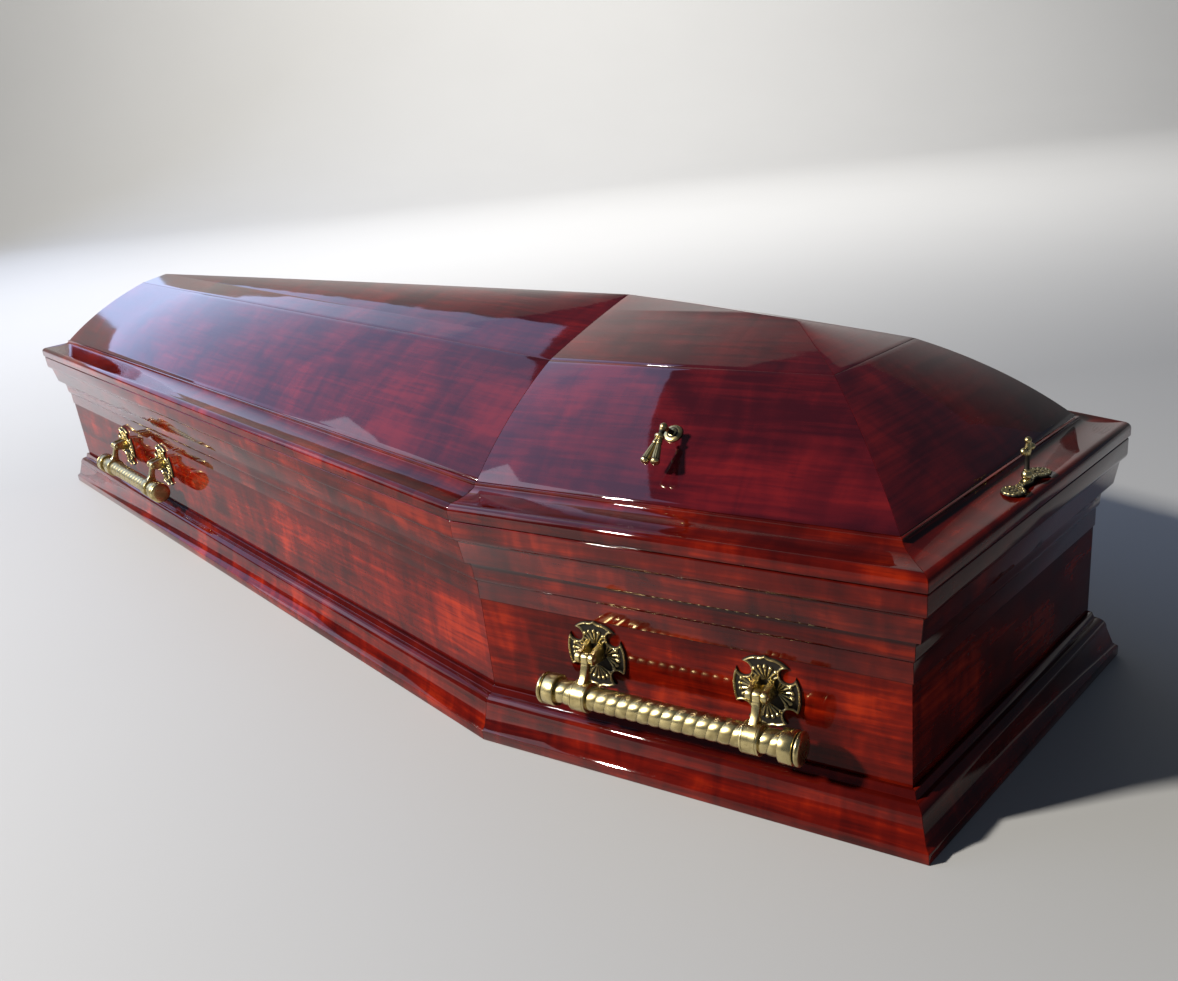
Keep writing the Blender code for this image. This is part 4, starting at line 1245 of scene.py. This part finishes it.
@dataclass
class LidScrew(Casting):
    """Thumb screw with a cross for a head, on its pierced plate with a shell at each end."""

    plan: Plan
    joinery: Joinery
    inset: float = 0.021
    length: float = 0.080
    width: float = 0.024
    waist: float = 0.010
    thickness: float = 0.0013
    screw_hole: float = 0.0042
    spacing: float = 0.00042
    cross_height: float = 0.046
    arm_height: float = 0.034
    span: float = 0.024
    ball: float = 0.0052
    knob: float = 0.0034

    def frame(self) -> Matrix:
        """Frame on the brim at the middle of the head end."""
        arris, cove = self.joinery.brim_arris, self.joinery.cove_end
        share = (self.inset + self.width / 2 - arris[0]) / (cove[0] - arris[0])
        seat = arris[1] + (cove[1] - arris[1]) * (1 - math.cos(math.asin(min(share, 1.0))))
        return self.plan.side_frame(Side.HEAD_END, self.plan.head_width / 2, self.inset, seat)

    def level(self, across: np.ndarray, up: np.ndarray) -> np.ndarray:
        """Height of the plate's front over its back."""
        lobe = self.width / 2
        reach = self.length / 2 - lobe
        out = np.abs(across) - reach
        turn = np.arctan2(up, out)
        away = np.hypot(out, up)
        scallop = 0.0006 * np.abs(np.cos(turn * 6)) * (out > -0.004)
        neck = np.minimum(self.waist / 2 + 0.0012 * np.cos(across * 260) - np.abs(up), reach - np.abs(across))
        inside = np.maximum(lobe - 0.0006 + scallop - away, neck)
        ribs = 0.0007 * np.abs(np.cos(turn * 6)) ** 0.7 * bump(away - 0.0066, 0.0030)
        relief = np.maximum(ribs, 0.0009 * bump(inside - 0.0010, 0.0008))
        for k in range(-5, 6):
            angle = k * math.pi / 6.5
            bead = np.hypot(out - 0.0094 * math.cos(angle), up - 0.0094 * math.sin(angle))
            relief = np.maximum(relief, 0.0015 * bump(bead, 0.0013))
        for curl in (0.0105, 0.0155):
            ring = np.hypot(np.abs(across) - curl, np.abs(up) - 0.0020)
            relief = np.maximum(relief, 0.0010 * bump(ring - 0.0017, 0.0007))
        hole = step_up(away, self.screw_hole - 0.0005, self.screw_hole + 0.0003)
        return np.minimum((self.thickness + relief) * (0.35 + 0.65 * hole), 2.4 * inside)

    def fixing(self, hand: int) -> bpy.types.Object:
        """One small cross-headed fixing screw in a lobe."""
        place = hand * (self.length - self.width) / 2
        head = Bench.turned(f"fixing_{hand}", [(0.0036, 0.0004), (0.0036, 0.0009), (0.0031, 0.0014),
                                               (0.0020, 0.0018), (0.0008, 0.0019)], 28)
        slots = []
        for turn in (0.5, 0.5 + math.pi / 2):
            Bench.start()
            bpy.ops.mesh.primitive_cube_add(size=1.0, location=(0.0, 0.0, 0.0019), rotation=(0.0, 0.0, turn),
                                            scale=(0.0042, 0.0007, 0.0014))
            bpy.ops.object.transform_apply(location=True, rotation=True, scale=True)
            slots.append(bpy.context.active_object)
        for slot in slots:
            Bench.only(head)
            cut = head.modifiers.new("slot", "BOOLEAN")
            cut.operation = "DIFFERENCE"
            cut.object = slot
            bpy.ops.object.modifier_apply(modifier=cut.name)
            Bench.discard(slot)
        Bench.soften(head, 0.0, angle=40.0)
        head.data.transform(Matrix.Translation((place, 0.0, 0.0)))
        return head

    def cross(self) -> bpy.types.Object:
        """The screw: shaft, ball and cross with knobbed ends, in the XZ plane."""
        ball = self.thickness + 0.0012 + self.ball
        shaft = Bench.turned("screw_shaft", [(0.0040, CAD_GAP), (0.0040, 0.0030), (0.0026, 0.0042),
                                             (0.0024, 0.0105), (0.0034, 0.0122), (0.0034, 0.0130),
                                             (0.0024, 0.0145),
                                             (0.0022, 0.0260), (0.0030, 0.0300), (0.0034, 0.0325),
                                             (0.0034, 0.0355), (0.0026, 0.0380), (0.0022, 0.0400)], 32)
        balls = [Bench.ball("screw_ball", self.ball, Vector((0.0, 0.0, ball)), 32),
                 Bench.ball("screw_top", self.knob, Vector((0.0, 0.0, self.cross_height - self.knob)), 24)]
        half = self.span / 2 - self.knob
        bar = Bench.turned("screw_bar", [(0.0022, -half), (0.0019, -half / 2), (0.0030, -0.0025),
                                         (0.0030, 0.0025), (0.0019, half / 2), (0.0022, half)], 28)
        raised = Matrix.Translation((0.0, 0.0, self.arm_height))
        bar.data.transform(raised @ Matrix.Rotation(math.pi / 2, 4, "Y"))
        balls += [Bench.ball(f"screw_end_{hand}", self.knob, Vector((hand * half, 0.0, self.arm_height)), 24)
                  for hand in (-1, 1)]
        for part in (shaft, bar, *balls):
            Bench.soften(part, 0.0, angle=50.0)
        return Bench.joined([shaft, bar, *balls])

    def build(self) -> None:
        """Make the plate with its fixings and the screw, and set them on the brim."""
        plate = Bench.relief("lid_screw_plate_cast", RELIEF_MARGIN * self.length, 1.15 * self.width,
                             self.spacing, self.level)
        Bench.soften(plate, 0.0, angle=60.0)
        whole = Bench.joined([plate, self.fixing(-1), self.fixing(1)])
        Casting.age(whole, 6, 0.00030, self.thickness, 0.0008)
        whole.data.transform(self.frame() @ Matrix.Translation((0.0, 0.0, CAD_GAP)))
        Casting.dress(whole, COFFIN_BODY, "lid_screw_plate")
        screw = self.cross()
        screw.name = screw.data.name = "lid_screw_cast"
        Casting.age(screw, 4, 0.0003)
        screw.data.transform(self.frame())
        Casting.dress(screw, COFFIN_BODY, "lid_screw")


@dataclass(frozen=True)
class Studio:
    """Pale floor, soft lights and the camera at the photograph's angle."""

    camera_place: tuple[float, float, float] = (1.3834, -0.9409, 0.6866)
    pitch: float = math.radians(21.35)
    yaw: float = math.radians(45.02)
    roll: float = math.radians(6.02)
    lens: float = 33.03
    shift: tuple[float, float] = (-0.0329, 0.0080)
    room: float = 6.0
    spread: float = 2.2
    bend: float = 3.0
    bend_steps: int = 12
    floor_drop: float = 0.0004
    sky_colour: Colour = (0.60, 0.74, 1.0)
    sky_strength: float = 0.12

    def camera(self) -> None:
        """Set up the camera."""
        data = bpy.data.cameras.new("camera")
        data.lens = self.lens
        data.sensor_width = 36.0
        data.sensor_fit = "HORIZONTAL"
        data.shift_x, data.shift_y = self.shift
        data.clip_start = 0.01
        camera = bpy.data.objects.new("camera", data)
        turn = (Matrix.Rotation(self.yaw, 4, "Z") @ Matrix.Rotation(math.pi / 2 - self.pitch, 4, "X")
                @ Matrix.Rotation(-self.roll, 4, "Z"))
        camera.matrix_world = Matrix.Translation(self.camera_place) @ turn
        bpy.context.scene.collection.objects.link(camera)
        bpy.context.scene.camera = camera

    def floor(self) -> None:
        """Lay the pale floor, which bends up into a wall behind the object."""
        Bench.start()
        bpy.ops.mesh.primitive_plane_add(size=2 * self.room)
        floor = bpy.context.active_object
        floor.name = "studio_floor"
        wide = Matrix.Diagonal((self.spread, 1.0, 1.0, 1.0))
        floor.data.transform(Matrix.Rotation(self.yaw, 4, "Z") @ wide)
        back = Vector((-math.sin(self.yaw), math.cos(self.yaw), 0.0))
        bpy.ops.object.mode_set(mode="EDIT")
        bpy.ops.mesh.select_all(action="DESELECT")
        bpy.ops.mesh.select_mode(type="EDGE")
        form = bmesh.from_edit_mesh(floor.data)
        for edge in form.edges:
            edge.select = all(vertex.co.dot(back) > self.room / 2 for vertex in edge.verts)
        form.select_flush_mode()
        bmesh.update_edit_mesh(floor.data)
        for k in range(self.bend_steps):
            turn = math.pi / 2 * (k + 0.5) / self.bend_steps
            step = back * math.cos(turn) + Vector((0.0, 0.0, math.sin(turn)))
            step *= 2 * self.bend * math.sin(math.pi / 4 / self.bend_steps)
            bpy.ops.mesh.extrude_region_move(TRANSFORM_OT_translate={"value": step})
        bpy.ops.mesh.extrude_region_move(TRANSFORM_OT_translate={"value": (0.0, 0.0, self.room)})
        bpy.ops.mesh.select_mode(type="VERT")
        bpy.ops.object.mode_set(mode="OBJECT")
        floor.data.transform(Matrix.Translation((0.0, 0.0, -self.floor_drop)))
        bpy.ops.object.shade_smooth()
        floor.data.materials.append(PaleFloor().material())
        floor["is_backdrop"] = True

    def panel(self, name: str, place: Sequence[float], target: Sequence[float], size: Point,
              power: float, colour: Colour) -> None:
        """Hang one soft light.

        Args:
            name: Its name.
            place: Its place.
            target: Point that it faces.
            size: Its width and height.
            power: Its power in watts.
            colour: Its colour.
        """
        data = bpy.data.lights.new(name, "AREA")
        data.shape = "RECTANGLE"
        data.size, data.size_y = size
        data.energy = power
        data.color = colour
        lamp = bpy.data.objects.new(name, data)
        way = Vector(target) - Vector(place)
        lamp.matrix_world = Matrix.Translation(place) @ way.to_track_quat("-Z", "Y").to_matrix().to_4x4()
        bpy.context.scene.collection.objects.link(lamp)

    def light(self) -> None:
        """Set up the sky and the panels."""
        world = bpy.data.worlds.new("studio")
        world.use_nodes = True
        background = world.node_tree.nodes["Background"]
        background.inputs["Color"].default_value = (*self.sky_colour, 1.0)
        background.inputs["Strength"].default_value = self.sky_strength
        bpy.context.scene.world = world
        middle = (0.2, 0.0, 0.2)
        self.panel("key", (-1.73, -3.94, 3.33), middle, (0.40, 0.40), 680.0, (1.0, 0.95, 0.87))
        self.panel("sky", (-4.6, -0.9, 3.4), (-0.3, 0.0, 0.4), (7.0, 6.0), 210.0, (0.42, 0.58, 1.0))
        self.panel("front", (-3.3, -2.9, 2.6), middle, (2.6, 1.9), 34.0, (0.84, 0.86, 1.0))
        self.panel("backdrop", (-1.6, 1.8, 4.6), (-5.6, 5.6, 2.4), (5.0, 1.5), 1000.0, (1.0, 0.97, 0.93))

    def build(self) -> None:
        """Set up everything that isn't part of the object."""
        self.camera()
        self.floor()
        self.light()
        bpy.context.scene.view_settings.view_transform = "Standard"


def write_sizes() -> None:
    boxes = {"cad": CAD_BOX, "visual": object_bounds()}
    sizes = {name: [[float(value) for value in corner] for corner in box] for name, box in boxes.items()}


def main() -> None:
    """Build the coffin's looks piece by piece."""
    logging.basicConfig(level=logging.INFO, format="%(name)s %(message)s")
    plan = Plan()
    joinery = Joinery(plan)
    joinery.build()
    Handles(plan).build()
    Tassels(plan, joinery).build()
    LidScrew(plan, joinery).build()
    Studio().build()
    write_sizes()


if __name__ == "__main__":
    main()
